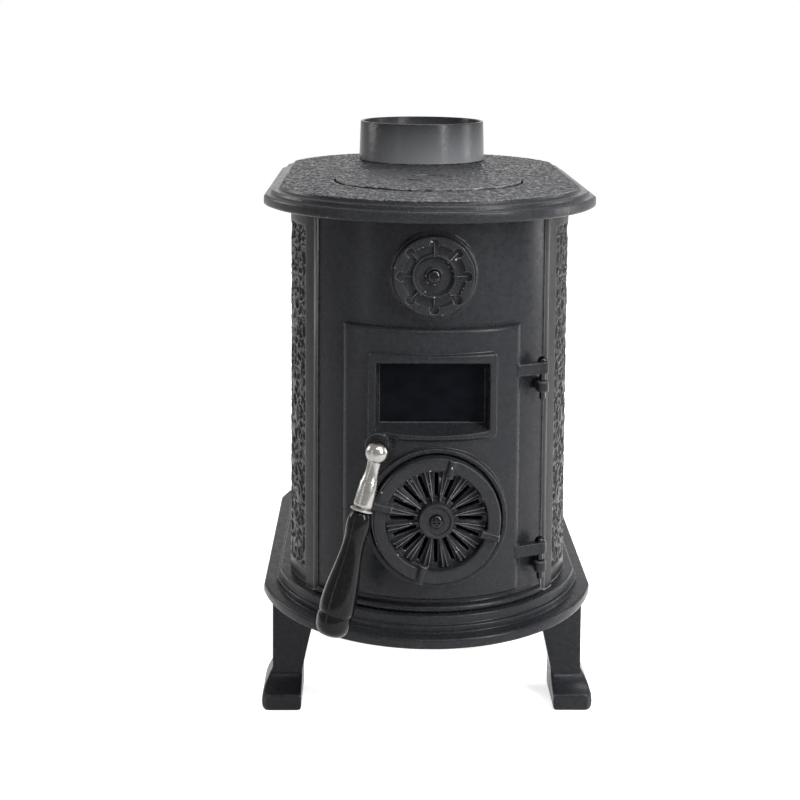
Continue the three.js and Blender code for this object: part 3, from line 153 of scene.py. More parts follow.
def turned(name, profile, centre=(0, 0, 0), facing=facing_up, steps=FINE):
    """Turned solid from (radius, height) pairs that start and end on the axis or close on themselves."""
    closed = profile[0] == profile[-1]
    points, rings, faces = [], [], []
    for radius, height in profile[:-1] if closed else profile:
        count = steps if radius > 1e-6 else 1
        rings.append(range(len(points), len(points) + count))
        for step in range(count):
            angle = 2 * math.pi * step / count
            spot = facing(radius * math.cos(angle), radius * math.sin(angle), height)
            points.append([a + b for a, b in zip(spot, centre)])
    followers = rings[1:] + rings[:1] if closed else rings[1:]
    for near, far in zip(rings, followers):
        for step in range(steps):
            after = (step + 1) % steps
            corners = [near[step % len(near)], near[after % len(near)], far[after % len(far)], far[step % len(far)]]
            faces.append(list(dict.fromkeys(corners)))
    return solid(name, points, [face for face in faces if len(face) > 2])


def prism(name, outline, low, high, facing=facing_up):
    """Straight solid over an outline, from one depth to another."""
    count = len(outline)
    points = [facing(u, v, low) for u, v in outline] + [facing(u, v, high) for u, v in outline]
    faces = [list(range(count)), list(range(count, 2 * count))]
    for step in range(count):
        after = (step + 1) % count
        faces.append([step, after, count + after, count + step])
    return solid(name, points, faces)


def rectangle(left, right, low, high):
    return [(left, low), (right, low), (right, high), (left, high)]


def block(left, right, front, back, low, high):
    return prism("block", rectangle(left, right, front, back), low, high)


def rounded_rectangle(left, right, low, high, rounding, steps=6):
    outline = []
    spots = ((right, high, -1, -1), (left, high, 1, -1), (left, low, 1, 1), (right, low, -1, 1))
    for quarter, (x, z, in_x, in_z) in enumerate(spots):
        start = 90 * quarter
        outline += arc((x + in_x * rounding, z + in_z * rounding), rounding, start, start + 90, steps)
    return outline


def ease(value):
    value = min(max(value, 0), 1)
    return value * value * (3 - 2 * value)


def arc(centre, radius, start, end, steps):
    """Points of an arc in degrees."""
    points = []
    for step in range(steps + 1):
        angle = math.radians(start + (end - start) * step / steps)
        points.append((centre[0] + radius * math.cos(angle), centre[1] + radius * math.sin(angle)))
    return points


def apply(piece):
    bpy.context.view_layer.update()
    shaped = bpy.data.meshes.new_from_object(piece.evaluated_get(bpy.context.evaluated_depsgraph_get()))
    before = piece.data
    piece.modifiers.clear()
    piece.data = shaped
    bpy.data.meshes.remove(before)
    return piece


def combine(piece, operation, tools):
    for tool in tools:
        step = piece.modifiers.new(operation, "BOOLEAN")
        step.operation = operation
        step.solver = "MANIFOLD"
        step.object = tool
    apply(piece)
    for tool in tools:
        bpy.data.objects.remove(tool)
    return piece


def join(piece, *tools):
    return combine(piece, "UNION", tools)


def cut(piece, *tools):
    return combine(piece, "DIFFERENCE", tools)


def keep_inside(piece, *tools):
    return combine(piece, "INTERSECT", tools)


def shade(piece, sharpest=180):
    """Smooth shading that keeps edges sharper than an angle in degrees crisp."""
    shape = bmesh.new()
    shape.from_mesh(piece.data)
    for face in shape.faces:
        face.smooth = True
    for edge in shape.edges:
        edge.smooth = edge.calc_face_angle(0) < math.radians(sharpest)
    shape.to_mesh(piece.data)
    shape.free()
    return piece


def thinned(piece, share):
    """Keeps a share of the faces, the flattest places losing theirs first."""
    thin = piece.modifiers.new("thin", "DECIMATE")
    thin.ratio = share
    return shade(apply(piece))


def cast(piece, voxel, rounds=4, share=0.4):
    """Gives a piece the soft edges and fillets of a sand casting."""
    skin = piece.modifiers.new("skin", "REMESH")
    skin.mode = "VOXEL"
    skin.voxel_size = voxel * MM
    soften = piece.modifiers.new("soften", "SMOOTH")
    soften.factor = 0.5
    soften.iterations = rounds
    return thinned(apply(piece), share)


def wrinkle(piece, level, depth, share=0.3):
    """Hammered skin: lowers the flat field at a level by an uneven amount."""
    for corner in piece.data.vertices:
        if abs(corner.co.z / MM - level) < 0.3:
            spot = corner.co / MM
            lumps = 1.5 * noise.noise(spot / 3.6) + 0.8 * noise.noise(spot / 1.7)
            corner.co.z -= depth * ease(0.5 + 0.5 * lumps) * MM
    return thinned(piece, share)


def arc_depth(radius, x):
    """Distance in front of the middle of a point on a front arc."""
    return ARC_CENTRE + math.sqrt(radius * radius - x * x)


def turned_on_end_arc(name, profile):
    return turned(name, profile, centre=(0, -ARC_CENTRE, 0), steps=3 * FINE)


def rounded_ring(inner, outer, low, high, rounding, steps=5):
    profile = [(inner, low)]
    profile += arc((outer - rounding, low + rounding), rounding, -90, 0, steps)
    profile += arc((outer - rounding, high - rounding), rounding, 0, 90, steps)
    profile += [(inner, high), (inner, low)]
    return profile


# ---------------------------------------------------------------- plates
def oval(inset, arc_steps=90, side_steps=24):
    """Plan of the plates, drawn in by an inset, from the front left corner round to the left side."""
    radius = PLATE_ARC_RADIUS - inset
    half = math.degrees(math.asin((PLATE_HALF_WIDTH - inset) / radius))
    front = arc((0, -ARC_CENTRE), radius, -90 - half, -90 + half, arc_steps)
    back = arc((0, ARC_CENTRE), radius, 90 - half, 90 + half, arc_steps)
    points = []
    for run, following in ((front, back), (back, front)):
        points += run
        start, end = Vector(run[-1]), Vector(following[0])
        points += [tuple(start.lerp(end, step / side_steps)) for step in range(1, side_steps)]
    return points


def swept_oval(name, profile):
    """Solid between the first and last loops of (inset, height) pairs round the oval."""
    loops = [oval(inset) for inset, height in profile]
    count = len(loops[0])
    points = [(x, y, height) for loop, (inset, height) in zip(loops, profile) for x, y in loop]
    faces = [list(range(count)), list(range(len(points) - count, len(points)))]
    for ring in range(len(loops) - 1):
        for step in range(count):
            after = (step + 1) % count
            near, far = ring * count, (ring + 1) * count
            faces.append([near + step, near + after, far + after, far + step])
    return solid(name, points, faces)


def tier_profile(tiers, bottom, crown, fillet=1.0, steps=5):
    """Stepped rim: convex crowns and small inner fillets, from the outer foot to the top field."""
    profile = arc((crown, bottom + crown), crown, 270, 180, steps)
    for level, (inset, height) in enumerate(tiers):
        rounding = crown if level == 0 else 0.6 * crown
        top = bottom + height
        profile += arc((inset + rounding, top - rounding), rounding, 180, 90, steps)
        if level + 1 < len(tiers):
            inner = tiers[level + 1][0]
            profile += arc((inner - fillet, top + fillet), fillet, -90, 0, steps)
    return profile


def base_plate():
    underside = BASE_BOTTOM + BASE_TIERS[2][1] - DECK
    profile = [(OVERHANG, underside), (OVERHANG, BASE_BOTTOM)]
    profile += tier_profile(BASE_TIERS, BASE_BOTTOM, 2)
    profile += [(OVERHANG + WALL, BASE_BOTTOM + BASE_TIERS[2][1])]
    plate = swept_oval("base_casting", profile)
    for side in (-1, 1):
        for end in (-1, 1):
            across = sorted(side * value for value in LEG_PAD["across"])
            along = sorted(end * value for value in LEG_PAD["along"])
            join(plate, block(*across, *along, BASE_BOTTOM, underside + 1))
    return shade(plate, 35)


def top_plate():
    underside = FIELD_TOP - DECK
    inner = OVERHANG + WALL + TOP_BEARING
    profile = [(inner, underside), (inner, TOP_BOTTOM)]
    profile += tier_profile(TOP_TIERS, TOP_BOTTOM, 2)
    profile += [(inner, FIELD_TOP), (inner + WALL, FIELD_TOP)]
    plate = swept_oval("top_casting", profile)
    seat = FIELD_TOP + LID["proud"] - LID["thickness"] - GAP
    bore, rim = LID["radius"] - LID["lap"], LID["radius"] + LID["play"]
    hole = [(0, TOP_BOTTOM - 1), (bore, TOP_BOTTOM - 1), (bore, seat), (rim, seat)]
    hole += [(rim, FIELD_TOP - 0.6), (rim + 0.8, FIELD_TOP + 0.2), (0, FIELD_TOP + 1)]
    flue = [(0, TOP_BOTTOM - 1), (COLLAR["bore"], TOP_BOTTOM - 1), (COLLAR["bore"], FIELD_TOP + 1), (0, FIELD_TOP + 1)]
    passage = turned("flue", flue, (0, COLLAR["y"], 0))
    for side in (-1, 1):
        cut(passage, ear_block(side, COLLAR["bore"] + WALL, TOP_BOTTOM - 2, FIELD_TOP + 2))
    cut(plate, turned("hole", hole, (0, LID["y"], 0)), passage)
    return wrinkle(cast(plate, 0.9, rounds=1, share=1), FIELD_TOP, FIELD["wrinkle"])


def ear_block(side, reach, low, high):
    """One of the two ears that hold the collar's screws."""
    across = sorted((side * (COLLAR["bore"] - EAR["length"]), side * reach))
    return block(*across, COLLAR["y"] - EAR["half"], COLLAR["y"] + EAR["half"], low, high)


def hotplate_lid():
    radius, thickness = LID["radius"], LID["thickness"]
    ring, width, proud = MEDALLION["radius"], MEDALLION["width"], MEDALLION["proud"]
    skirt = radius - LID["lap"] - LID["play"]
    profile = [(0, 0), (skirt - 4, 0), (skirt - 4, -LID["skirt"]), (skirt, -LID["skirt"]), (skirt, 0), (radius, 0)]
    profile += arc((radius - 1.2, thickness - 1.2), 1.2, 0, 90, 5)
    profile += [(ring + 1, thickness)]
    for step in range(9):
        angle = math.pi * step / 8
        profile.append((ring - width / 2 * (1 - math.cos(angle)), thickness + proud * math.sin(angle)))
    profile += [(0, thickness)]
    low = FIELD_TOP + LID["proud"] - thickness
    lid = cast(turned("lid_casting", profile, (0, LID["y"], low)), 0.8, rounds=1, share=1)
    return wrinkle(lid, low + thickness, FIELD["wrinkle"])


def flue_collar():
    radius, top, height, wall = COLLAR["radius"], COLLAR["top"], COLLAR["height"], COLLAR["wall"]
    rim = 1.2
    profile = [(radius - wall, 0), (radius, 0)]
    profile += arc((top - rim, height - rim), rim, 0, 90, 5)
    profile += arc((radius - wall + rim, height - rim), rim, 90, 180, 5)
    profile += [profile[0]]
    collar = turned("collar_casting", profile, (0, COLLAR["y"], FIELD_TOP + GAP))
    low = FIELD_TOP + GAP
    for side in (-1, 1):
        join(collar, ear_block(side, radius - wall / 2, low, low + EAR["thickness"]))
    return shade(collar, 35)


# ---------------------------------------------------------------- body
def panel_path(along):
    """Point and outward normal on the right side's outer face, a distance along from its front edge."""
    first = math.asin((SEAM + GAP) / BODY_RADIUS)
    last = math.asin(BODY_HALF_WIDTH / BODY_RADIUS)
    bend = BODY_RADIUS * (last - first)
    straight = arc_depth(BODY_RADIUS, BODY_HALF_WIDTH)
    if bend < along < bend + 2 * straight:
        return (BODY_HALF_WIDTH, along - bend - straight), (1, 0)
    back = along > bend
    angle = first + (2 * bend + 2 * straight - along if back else along) / BODY_RADIUS
    end = 1 if back else -1
    normal = (math.sin(angle), end * math.cos(angle))
    return (BODY_RADIUS * normal[0], end * ARC_CENTRE + BODY_RADIUS * normal[1]), normal


def panel_length():
    first = math.asin((SEAM + GAP) / BODY_RADIUS)
    last = math.asin(BODY_HALF_WIDTH / BODY_RADIUS)
    return 2 * BODY_RADIUS * (last - first) + 2 * arc_depth(BODY_RADIUS, BODY_HALF_WIDTH)


def relief_height(along, height):
    """Depth of the carved field below the panel's face: a web of twigs round leaf-sized pits."""
    spot = Vector((along, height, 0))
    sway = noise.noise_vector(spot / 13) * 4 + noise.noise_vector(spot / 4) * 1.2
    near, far = noise.voronoi((spot + sway) / RELIEF["cell"])[0][:2]
    twig = 0.5 + 0.5 * noise.noise(spot / 9)
    pit = ease((far - near) / RELIEF["ridge"]) * (0.75 + 0.25 * noise.noise(spot / 2.5))
    return -RELIEF["depth"] * min(max(pit, 0.25 * twig), 1)


def panel_height(along, height, length):
    """Offset of the panel's outer surface from the body's plain outline."""
    tall = BODY_TOP - BODY_BOTTOM
    from_edge = min(along, length - along)
    if from_edge < PILASTER["width"]:
        return PILASTER["proud"] * ease((PILASTER["width"] - from_edge) / 0.9) * ease(0.4 + from_edge / 0.9)
    field = min(from_edge - PILASTER["width"] - RELIEF["margin"], height - RELIEF["border"],
                tall - RELIEF["border"] - height)
    if field <= 0:
        return 0
    return ease(field / 1.5) * relief_height(along, height)


def side_panel(side):
    length = panel_length()
    tall = BODY_TOP - BODY_BOTTOM
    columns = round(length / RELIEF["step"])
    rows = round(tall / RELIEF["step"])
    points, faces = [], []
    for column in range(columns + 1):
        along = length * column / columns
        (x, y), (nx, ny) = panel_path(along)
        for row in range(rows + 1):
            height = tall * row / rows
            out = panel_height(along, height, length)
            points.append((side * (x + nx * out), y + ny * out, BODY_BOTTOM + height))
    inner = len(points)
    for column in range(columns + 1):
        (x, y), (nx, ny) = panel_path(length * column / columns)
        for height in (BODY_BOTTOM, BODY_TOP):
            points.append((side * (x - nx * WALL), y - ny * WALL, height))
    tall_count = rows + 1
    for column in range(columns):
        here, there = column * tall_count, (column + 1) * tall_count
        back, back_next = inner + 2 * column, inner + 2 * column + 2
        faces += [[here + row, there + row, there + row + 1, here + row + 1] for row in range(rows)]
        faces.append([back, back + 1, back_next + 1, back_next])
        faces.append([here, there, back_next, back])
        faces.append([here + rows, there + rows, back_next + 1, back + 1])
    for column in (0, columns):
        strip = list(range(column * tall_count, (column + 1) * tall_count))
        faces.append(strip + [inner + 2 * column + 1, inner + 2 * column])
    name = "side_casting_right" if side > 0 else "side_casting_left"
    panel = solid(name, points, faces)
    inside = BODY_HALF_WIDTH - WALL
    across = sorted((side * (inside - 16), side * (inside + 1)))
    return shade(join(panel, block(*across, -78, 78, 153.8, 159.8)), 60)


def end_outline():
    """Plan of the front plate: a curved band between the two seams."""
    outer = math.degrees(math.asin(SEAM / BODY_RADIUS))
    inner = math.degrees(math.asin(SEAM / (BODY_RADIUS - WALL)))
    middle = (0, -ARC_CENTRE)
    outline = arc(middle, BODY_RADIUS, -90 - outer, -90 + outer, 100)
    return outline + arc(middle, BODY_RADIUS - WALL, -90 + inner, -90 - inner, 100)


def front_bar(name, radius, near, far, x, z, steps=COARSE):
    """Round bar that runs forwards between two distances in front of the middle."""
    profile = [(0, near), (radius, near), (radius, far), (0, far)]
    return turned(name, profile, (x, 0, z), facing_front, steps)


def upright_bar(name, radius, low, high, x, y, steps=COARSE):
    return turned(name, [(0, low), (radius, low), (radius, high), (0, high)], (x, y, 0), facing_up, steps)


def damper_spots(radius):
    for step in range(POCKET["count"]):
        angle = 2 * math.pi * step / POCKET["count"]
        yield radius * math.sin(angle), DAMPER["height"] + radius * math.cos(angle)


def front_plate():
    plate = prism("front_casting", end_outline(), BODY_BOTTOM, BODY_TOP)
    centre, radius = (BODY_RADIUS + SILL_BEAD["proud"], BODY_BOTTOM + SILL_BEAD["height"]), SILL_BEAD["radius"]
    round_bead = arc(centre, radius, 0, 360, 14)
    bead = turned_on_end_arc("bead", round_bead[:-1] + round_bead[:1])
    keep_inside(bead, block(-SEAM, SEAM, -250, -ARC_CENTRE, BODY_BOTTOM, 200))
    boss = front_bar("boss", DAMPER["boss"], 178, DAMPER["face"], 0, DAMPER["height"], FINE)
    for arm in HINGE_ARMS:
        high = arm - HINGE["play"]
        low = high - HINGE["knuckle"]
        join(plate, upright_bar("eye", HINGE["eye"], low, high, HINGE["x"], HINGE["y"]),
             block(SEAM - WALL, SEAM, HINGE["y"], -147, low, high))
    half = DOOR["half"] - DOOR["lap"]
    low, high = DOOR["bottom"] + DOOR["lap"], DOOR["top"] - DOOR["lap"]
    rebate = block(-half, half, -250, -100, low, high)
    floor = BODY_RADIUS - SEAL["depth"]
    cut(rebate, upright_bar("core", floor, low - 1, high + 1, 0, -ARC_CENTRE, 3 * FINE))
    width = SEAL["width"]
    through = block(-half + width, half - width, -250, -100, low + width, high - width)
    ports = [front_bar("port", POCKET["port"], 150, 250, x, z) for x, z in damper_spots(POCKET["ring"])]
    return cast(cut(join(plate, bead, boss), rebate, through, *ports), 1.0, rounds=3, share=0.35)


def back_plate():
    outline = [(x, -y) for x, y in end_outline()]
    return cast(prism("back_casting", outline, BODY_BOTTOM, BODY_TOP), 1.5, rounds=2, share=0.3)


# ---------------------------------------------------------------- door
def door_plan():
    half, face, rounding = DOOR["half"], DOOR["face"], DOOR["round"]
    near = math.degrees(math.asin((half - rounding) / face))
    corner_y = -arc_depth(face, half)
    outline = [(-half, -ARC_CENTRE), (-half, corner_y + rounding), (-half + 0.9, corner_y + 0.6)]
    outline += arc((0, -ARC_CENTRE), face, -90 - near, -90 + near, 90)
    return outline + [(half - 0.9, corner_y + 0.6), (half, corner_y + rounding), (half, -ARC_CENTRE)]


def hinge_arm(low):
    start, end = DOOR["half"] - 2.5, HINGE["x"]
    outline = [(start, -arc_depth(DOOR["back"], start) - 0.8), (start, -arc_depth(DOOR["face"], start) - 1),
               (end, HINGE["y"] - HINGE["eye"] + 0.4), (end, HINGE["y"] + HINGE["eye"] - 1.6)]
    arm = prism("arm", outline, low, low + HINGE["arm"])
    return join(arm, upright_bar("eye", HINGE["eye"], low, low + HINGE["arm"], HINGE["x"], HINGE["y"]))


def window_funnel():
    """Rectangular funnel, narrow at the glass and wide at the door's face."""
    back, front = GLASS_FRONT - 1, ARC_CENTRE + DOOR["face"] + WINDOW["proud"]
    points = []
    for depth, wide in ((back, 0), (front, WINDOW["bevel"])):
        half = WINDOW["half"] + wide
        low, high = WINDOW["bottom"] - wide, WINDOW["top"] + wide
        points += [(x, -depth, z) for x, z in rectangle(-half, half, low, high)]
    faces = [[0, 1, 2, 3], [4, 5, 6, 7]] + [[k, (k + 1) % 4, 4 + (k + 1) % 4, 4 + k] for k in range(4)]
    return solid("funnel", points, faces)


def door_leaf():
    back, face = DOOR["back"], DOOR["face"]
    door = turned_on_end_arc("door_casting", rounded_ring(back, face, DOOR["bottom"], DOOR["top"], DOOR["round"]))
    keep_inside(door, prism("plan", door_plan(), DOOR["bottom"] - 1, DOOR["top"] + 1))
    band = WINDOW["half"] + WINDOW["bevel"] + FRAME["side"]
    low = WINDOW["bottom"] - WINDOW["bevel"] - FRAME["bottom"]
    high = WINDOW["top"] + WINDOW["bevel"] + FRAME["top"]
    frame_ring = turned_on_end_arc("frame", rounded_ring(face - 3, face + WINDOW["proud"], low, high, 1.5))
    keep_inside(frame_ring, prism("band", rounded_rectangle(-band, band, low, high, 3.5), 100, 250, facing_front))
    seat_half = WINDOW["half"] + PANE["seat"]
    seat_low, seat_high = WINDOW["bottom"] - PANE["lap"], WINDOW["top"] + PANE["seat"]
    seat = block(-seat_half, seat_half, -ARC_CENTRE - face, -GLASS_FRONT, seat_low, seat_high)
    lugs = [block(*sorted((side * CLIP["inner"], side * CLIP["outer"])), -190, -GLASS_BACK,
                  z - CLIP["half"], z + CLIP["half"]) for side in (-1, 1) for z in CLIP["heights"]]
    inside = upright_bar("inside", back + 1, 0, 400, 0, -ARC_CENTRE, 3 * FINE)
    for hidden in [seat, *lugs]:
        core = inside.copy()
        core.data = inside.data.copy()
        bpy.context.scene.collection.objects.link(core)
        keep_inside(hidden, core)
    centre = (WHEEL["x"], WHEEL["height"])
    boss = front_bar("boss", WHEEL_BOSS["radius"], 178, WHEEL_BOSS["face"], *centre, FINE)
    spindle = front_bar("spindle", HANDLE["boss"], 180, HANDLE["boss_face"], HANDLE["x"], HANDLE["height"])
    bosses = cut(join(boss, spindle), inside)
    plate_face = WHEEL_BOSS["face"] - WHEEL_BOSS["recess"]
    dish = front_bar("dish", WHEEL_BOSS["radius"] - WHEEL_BOSS["rim"], plate_face, 250, *centre, FINE)
    pocket = front_bar("pocket", WHEEL_BOSS["pocket"], 100, plate_face - WHEEL_BOSS["plate"], *centre, FINE)
    post = front_bar("post", WHEEL_POST["radius"], plate_face - WHEEL_POST["length"], plate_face - 1, *centre)
    cut(join(door, frame_ring, seat, *lugs), window_funnel())
    cut(join(door, bosses), dish, pocket)
    cut(join(door, post), *air_slots())
    join(door, *[hinge_arm(low) for low in HINGE_ARMS])
    return cast(door, 0.75, rounds=3, share=0.35)


def on_wheel(radius, across, angle):
    """Point of the wheel's face at a radius and a sideways distance from it."""
    x = WHEEL["x"] + radius * math.cos(angle) - across * math.sin(angle)
    return x, WHEEL["height"] + radius * math.sin(angle) + across * math.cos(angle)


def air_slots():
    for step in range(VANE["count"]):
        angle = 2 * math.pi * step / VANE["count"]
        bar = rectangle(SLOT["inner"], SLOT["outer"], -SLOT["width"] / 2, SLOT["width"] / 2)
        yield prism("slot", [on_wheel(*corner, angle) for corner in bar], 100, 250, facing_front)


def vane(angle):
    """Vane between two slots: it widens with the radius and has two crests with a notch between them."""
    low = WHEEL_BACK + WHEEL["web"] / 2
    tall = VANE["height"] - WHEEL["web"] / 2
    section = [(-1, 0), (-VANE["crest"] - 0.12, 0.9), (-VANE["crest"], 1), (-0.06, VANE["notch"]),
               (0.06, VANE["notch"]), (VANE["crest"], 1), (VANE["crest"] + 0.12, 0.9), (1, 0)]
    points = []
    for radius in (WHEEL["hub"] - 2, WHEEL["inner"] - VANE["groove"]):
        half = radius * math.pi / VANE["count"] - SLOT["width"] / 2 - VANE["edge"]
        for across, rise in section:
            x, z = on_wheel(radius, across * half, angle)
            points.append((x, -low - rise * tall, z))
    count = len(section)
    faces = [list(range(count)), list(range(count, 2 * count))]
    faces += [[k, (k + 1) % count, count + (k + 1) % count, count + k] for k in range(count)]
    return solid("vane", points, faces)


def grip_nub(angle):
    """Half-round bar across the wheel's ring."""
    outline = arc((0, 0), NUB["radius"], 0, 360, 20)[:-1]
    nub = prism("nub", outline, WHEEL["radius"] - NUB["length"], WHEEL["radius"], facing_side)
    turn = Matrix.Rotation(-angle, 4, "Y")
    centre = Vector(place(WHEEL["x"], -(WHEEL_BACK + WHEEL["thickness"]), WHEEL["height"]))
    nub.data.transform(Matrix.Translation((0, -MIDDLE_Y, 0)))
    nub.data.transform(Matrix.Translation(centre) @ turn)
    return nub


def air_wheel():
    radius, inner, thickness, web, hub = (WHEEL[key] for key in ("radius", "inner", "thickness", "web", "hub"))
    floor = thickness - HUB_DISH["depth"]
    profile = [(0, 0), (radius - 0.8, 0), (radius, 0.8)]
    profile += arc((radius - 2, thickness - 2), 2, 0, 90, 6)
    profile += arc((inner + 1.5, thickness - 1.5), 1.5, 90, 180, 6)
    profile += [(inner, web), (hub, web)]
    profile += arc((hub - 1.2, thickness - 1.2), 1.2, 0, 90, 5)
    profile += [(HUB_DISH["radius"] + 0.4, thickness), (HUB_DISH["radius"], floor), (0, floor)]
    wheel = turned("wheel_casting", profile, (WHEEL["x"], -WHEEL_BACK, WHEEL["height"]), facing_front)
    fan = [vane(2 * math.pi * (step + 0.5) / VANE["count"]) for step in range(VANE["count"])]
    cut(join(wheel, *fan), *air_slots())
    nubs = [grip_nub(math.radians(NUB["angle"]) + 2 * math.pi * step / NUB["count"]) for step in range(NUB["count"])]
    return cast(join(wheel, *nubs), 0.42, rounds=2, share=0.45)


# ---------------------------------------------------------------- upper damper
def cusp(angle):
    """Pointed ridge along the radius, from the inner ring down to the floor of a pocket."""
    low = DAMPER["face"] + GAP + DAMPER["floor"]
    tall = DAMPER["thickness"] - DAMPER["floor"]
    points = []
    for radius, across, rise in ((CUSP["start"], -1, -0.2), (CUSP["start"], 0, 0.96), (CUSP["start"], 1, -0.2),
                                 (CUSP["end"], 0, -0.1)):
        x = radius * math.sin(angle) + across * CUSP["half"] * math.cos(angle)
        z = radius * math.cos(angle) - across * CUSP["half"] * math.sin(angle)
        points.append((x, -low - rise * tall, DAMPER["height"] + z))
    return solid("cusp", points, [[0, 1, 2], [0, 1, 3], [1, 2, 3], [0, 2, 3]])


def upper_damper():
    radius, thickness, floor = DAMPER["radius"], DAMPER["thickness"], DAMPER["floor"]
    back = DAMPER["face"] + GAP
    profile = [(0, 0), (radius, 0)]
    profile += arc((radius - 1.2, thickness - 1.2), 1.2, 0, 90, 4)
    profile += [(CHANNEL["outer"] + 0.7, thickness), (CHANNEL["outer"], thickness - 0.7), (CHANNEL["outer"], floor)]
    profile += [(CHANNEL["inner"], floor)]
    profile += arc(((CHANNEL["inner"] + CHANNEL["dish"]) / 2, thickness - 1.1), 1.1, 0, 180, 6)
    profile += [(CHANNEL["dish"] - 1.6, floor - 0.4), (CHANNEL["hub"], floor - 0.4)]
    profile += [(CHANNEL["hub"] - 1, CHANNEL["hub_height"]), (0, CHANNEL["hub_height"])]
    damper = turned("damper_casting", profile, (0, -back, DAMPER["height"]), facing_front)
    pockets = [front_bar("pocket", POCKET["radius"], back + floor, 250, x, z) for x, z in damper_spots(POCKET["ring"])]
    cut(damper, *pockets)
    join(damper, *[cusp(2 * math.pi * step / POCKET["count"]) for step in range(POCKET["count"])])
    return cast(damper, 0.3, rounds=1, share=0.4)


# ---------------------------------------------------------------- screws, pins and handle
def pan_screw(name, sizes, length, centre, facing):
    """Domed head with a cross recess, its shank behind."""
    radius, head, height = sizes["radius"], sizes["head"], sizes["height"]
    profile = [(0, -length), (radius, -length), (radius, 0), (head - 0.3, 0), (head, 0.3), (head, 0.3 * height)]
    for step in range(1, 9):
        angle = math.radians(90 * step / 8)
        profile.append((head * math.cos(angle) if step < 8 else 0, height * (0.3 + 0.7 * math.sin(angle))))
    screw = turned(name, profile, centre, facing, COARSE)
    arm, slot, deep = 0.52 * head, 0.13 * head, 0.45 * height
    for across, along in ((arm, slot), (slot, arm)):
        recess = prism("recess", rectangle(-across, across, -along, along), height - deep, height + 1, facing)
        recess.data.transform(Matrix.Translation([value * MM for value in centre]))
        cut(screw, recess)
    return shade(screw, 35)


def hinge_pin(name, arm):
    """Pin with a domed head, dropped through a door arm into its knuckle."""
    shank = HINGE["arm"] + HINGE["play"] + HINGE["knuckle"] + HINGE_PIN["tail"]
    radius, head, dome = HINGE_PIN["radius"], HINGE_PIN["head"], HINGE_PIN["dome"]
    profile = [(0, -shank), (radius - GAP, -shank), (radius, 1 - shank), (radius, 0), (head, 0), (head, 0.6)]
    for step in range(1, 9):
        angle = math.pi / 2 * step / 8
        profile.append((head * math.cos(angle) if step < 8 else 0, 0.6 + (dome - 0.6) * math.sin(angle)))
    seat = arm + HINGE["arm"] + GAP
    return shade(turned(name, profile, (HINGE["x"], HINGE["y"], seat), facing_up, COARSE), 35)


def along_handle(piece, distance=0):
    """Turns a solid made along +Z about the ball so that it hangs along the handle's lean."""
    ball = Vector(place(HANDLE["x"], HANDLE["y"], HANDLE["height"]))
    turn = Vector((0, 0, 1)).rotation_difference(HANDLE_LEAN).to_matrix().to_4x4()
    start = Matrix.Translation(ball + HANDLE_LEAN * distance * MM)
    piece.data.transform(start @ turn @ Matrix.Translation((0, -MIDDLE_Y, 0)))
    return piece


def handle_knuckle():
    ball = HANDLE["ball"]
    globe = [(ball * math.cos(math.radians(a)), ball * math.sin(math.radians(a))) for a in range(-90, 91, 6)]
    globe[0], globe[-1] = (0, -ball), (0, ball)
    centre = (HANDLE["x"], HANDLE["y"], HANDLE["height"])
    knuckle = turned("nickel_knuckle", globe, centre, facing_up, FINE)
    shank = front_bar("shank", HANDLE["shank"], HANDLE["boss_face"] + GAP, -HANDLE["y"], HANDLE["x"], HANDLE["height"])
    start, radius, flare, ferrule = NECK["start"], NECK["radius"], NECK["flare"], NECK["ferrule"]
    sleeve, rim, end = NECK["sleeve"], NECK["rim"], NECK["end"]
    neck = [(0, start), (radius + flare, start), (radius + 0.2, 9), (radius, 12), (radius + 0.2, 16)]
    neck += [(radius + flare, ferrule - 1), (sleeve - 1, ferrule), (sleeve - 0.6, ferrule + 1), (sleeve, end - 6)]
    neck += [(sleeve, end - 4.4), (sleeve - 0.5, end - 3.6), (rim - 0.8, end - 2.8), (rim, end - 1.8)]
    neck += [(rim - 0.1, end - 0.8), (rim - 1, end), (0, end)]
    join(knuckle, shank, along_handle(turned("neck", neck, steps=FINE)))
    soften = knuckle.modifiers.new("soften", "BEVEL")
    soften.width = 0.5 * MM
    soften.segments = 3
    soften.limit_method = "ANGLE"
    soften.angle_limit = math.radians(45)
    return shade(apply(knuckle), 40)


# Swelling grip with a grooved end knob, as shares of its radius and length.
GRIP_OUTLINE = [
    (0, 0), (0.5, 0), (0.56, 0.01), (0.63, 0.035), (0.69, 0.08), (0.68, 0.14), (0.62, 0.2), (0.6, 0.26), (0.63, 0.33),
    (0.7, 0.41), (0.8, 0.5), (0.9, 0.59), (0.97, 0.675), (1, 0.74), (0.99, 0.785), (0.965, 0.805), (0.915, 0.815),
    (0.93, 0.825), (0.965, 0.84), (0.97, 0.88), (0.93, 0.925), (0.83, 0.96), (0.66, 0.984), (0.4, 0.996), (0, 1),
]


def handle_grip():
    outline = [(across * GRIP["radius"], along * GRIP["length"]) for across, along in GRIP_OUTLINE]
    grip = turned("lacquered_grip", outline, steps=FINE)
    return shade(along_handle(grip, NECK["end"] + GAP), 50)


def softened_copy(node, name, voxel, rounds, share):
    """A casting's own CAD solid with soft edges."""
    piece = bpy.data.objects.new(name, frame["nodes"][node].data.copy())
    piece.data.materials.clear()
    bpy.context.scene.collection.objects.link(piece)
    return cast(piece, voxel, rounds, share)


# ---------------------------------------------------------------- materials
def add(tree, kind, inputs=None, **settings):
    node = tree.nodes.new(kind)
    for key, value in settings.items():
        setattr(node, key, value)
    for key, value in (inputs or {}).items():
        if isinstance(value, bpy.types.NodeSocket):
            tree.links.new(value, node.inputs[key])
        else:
            node.inputs[key].default_value = value
    return node


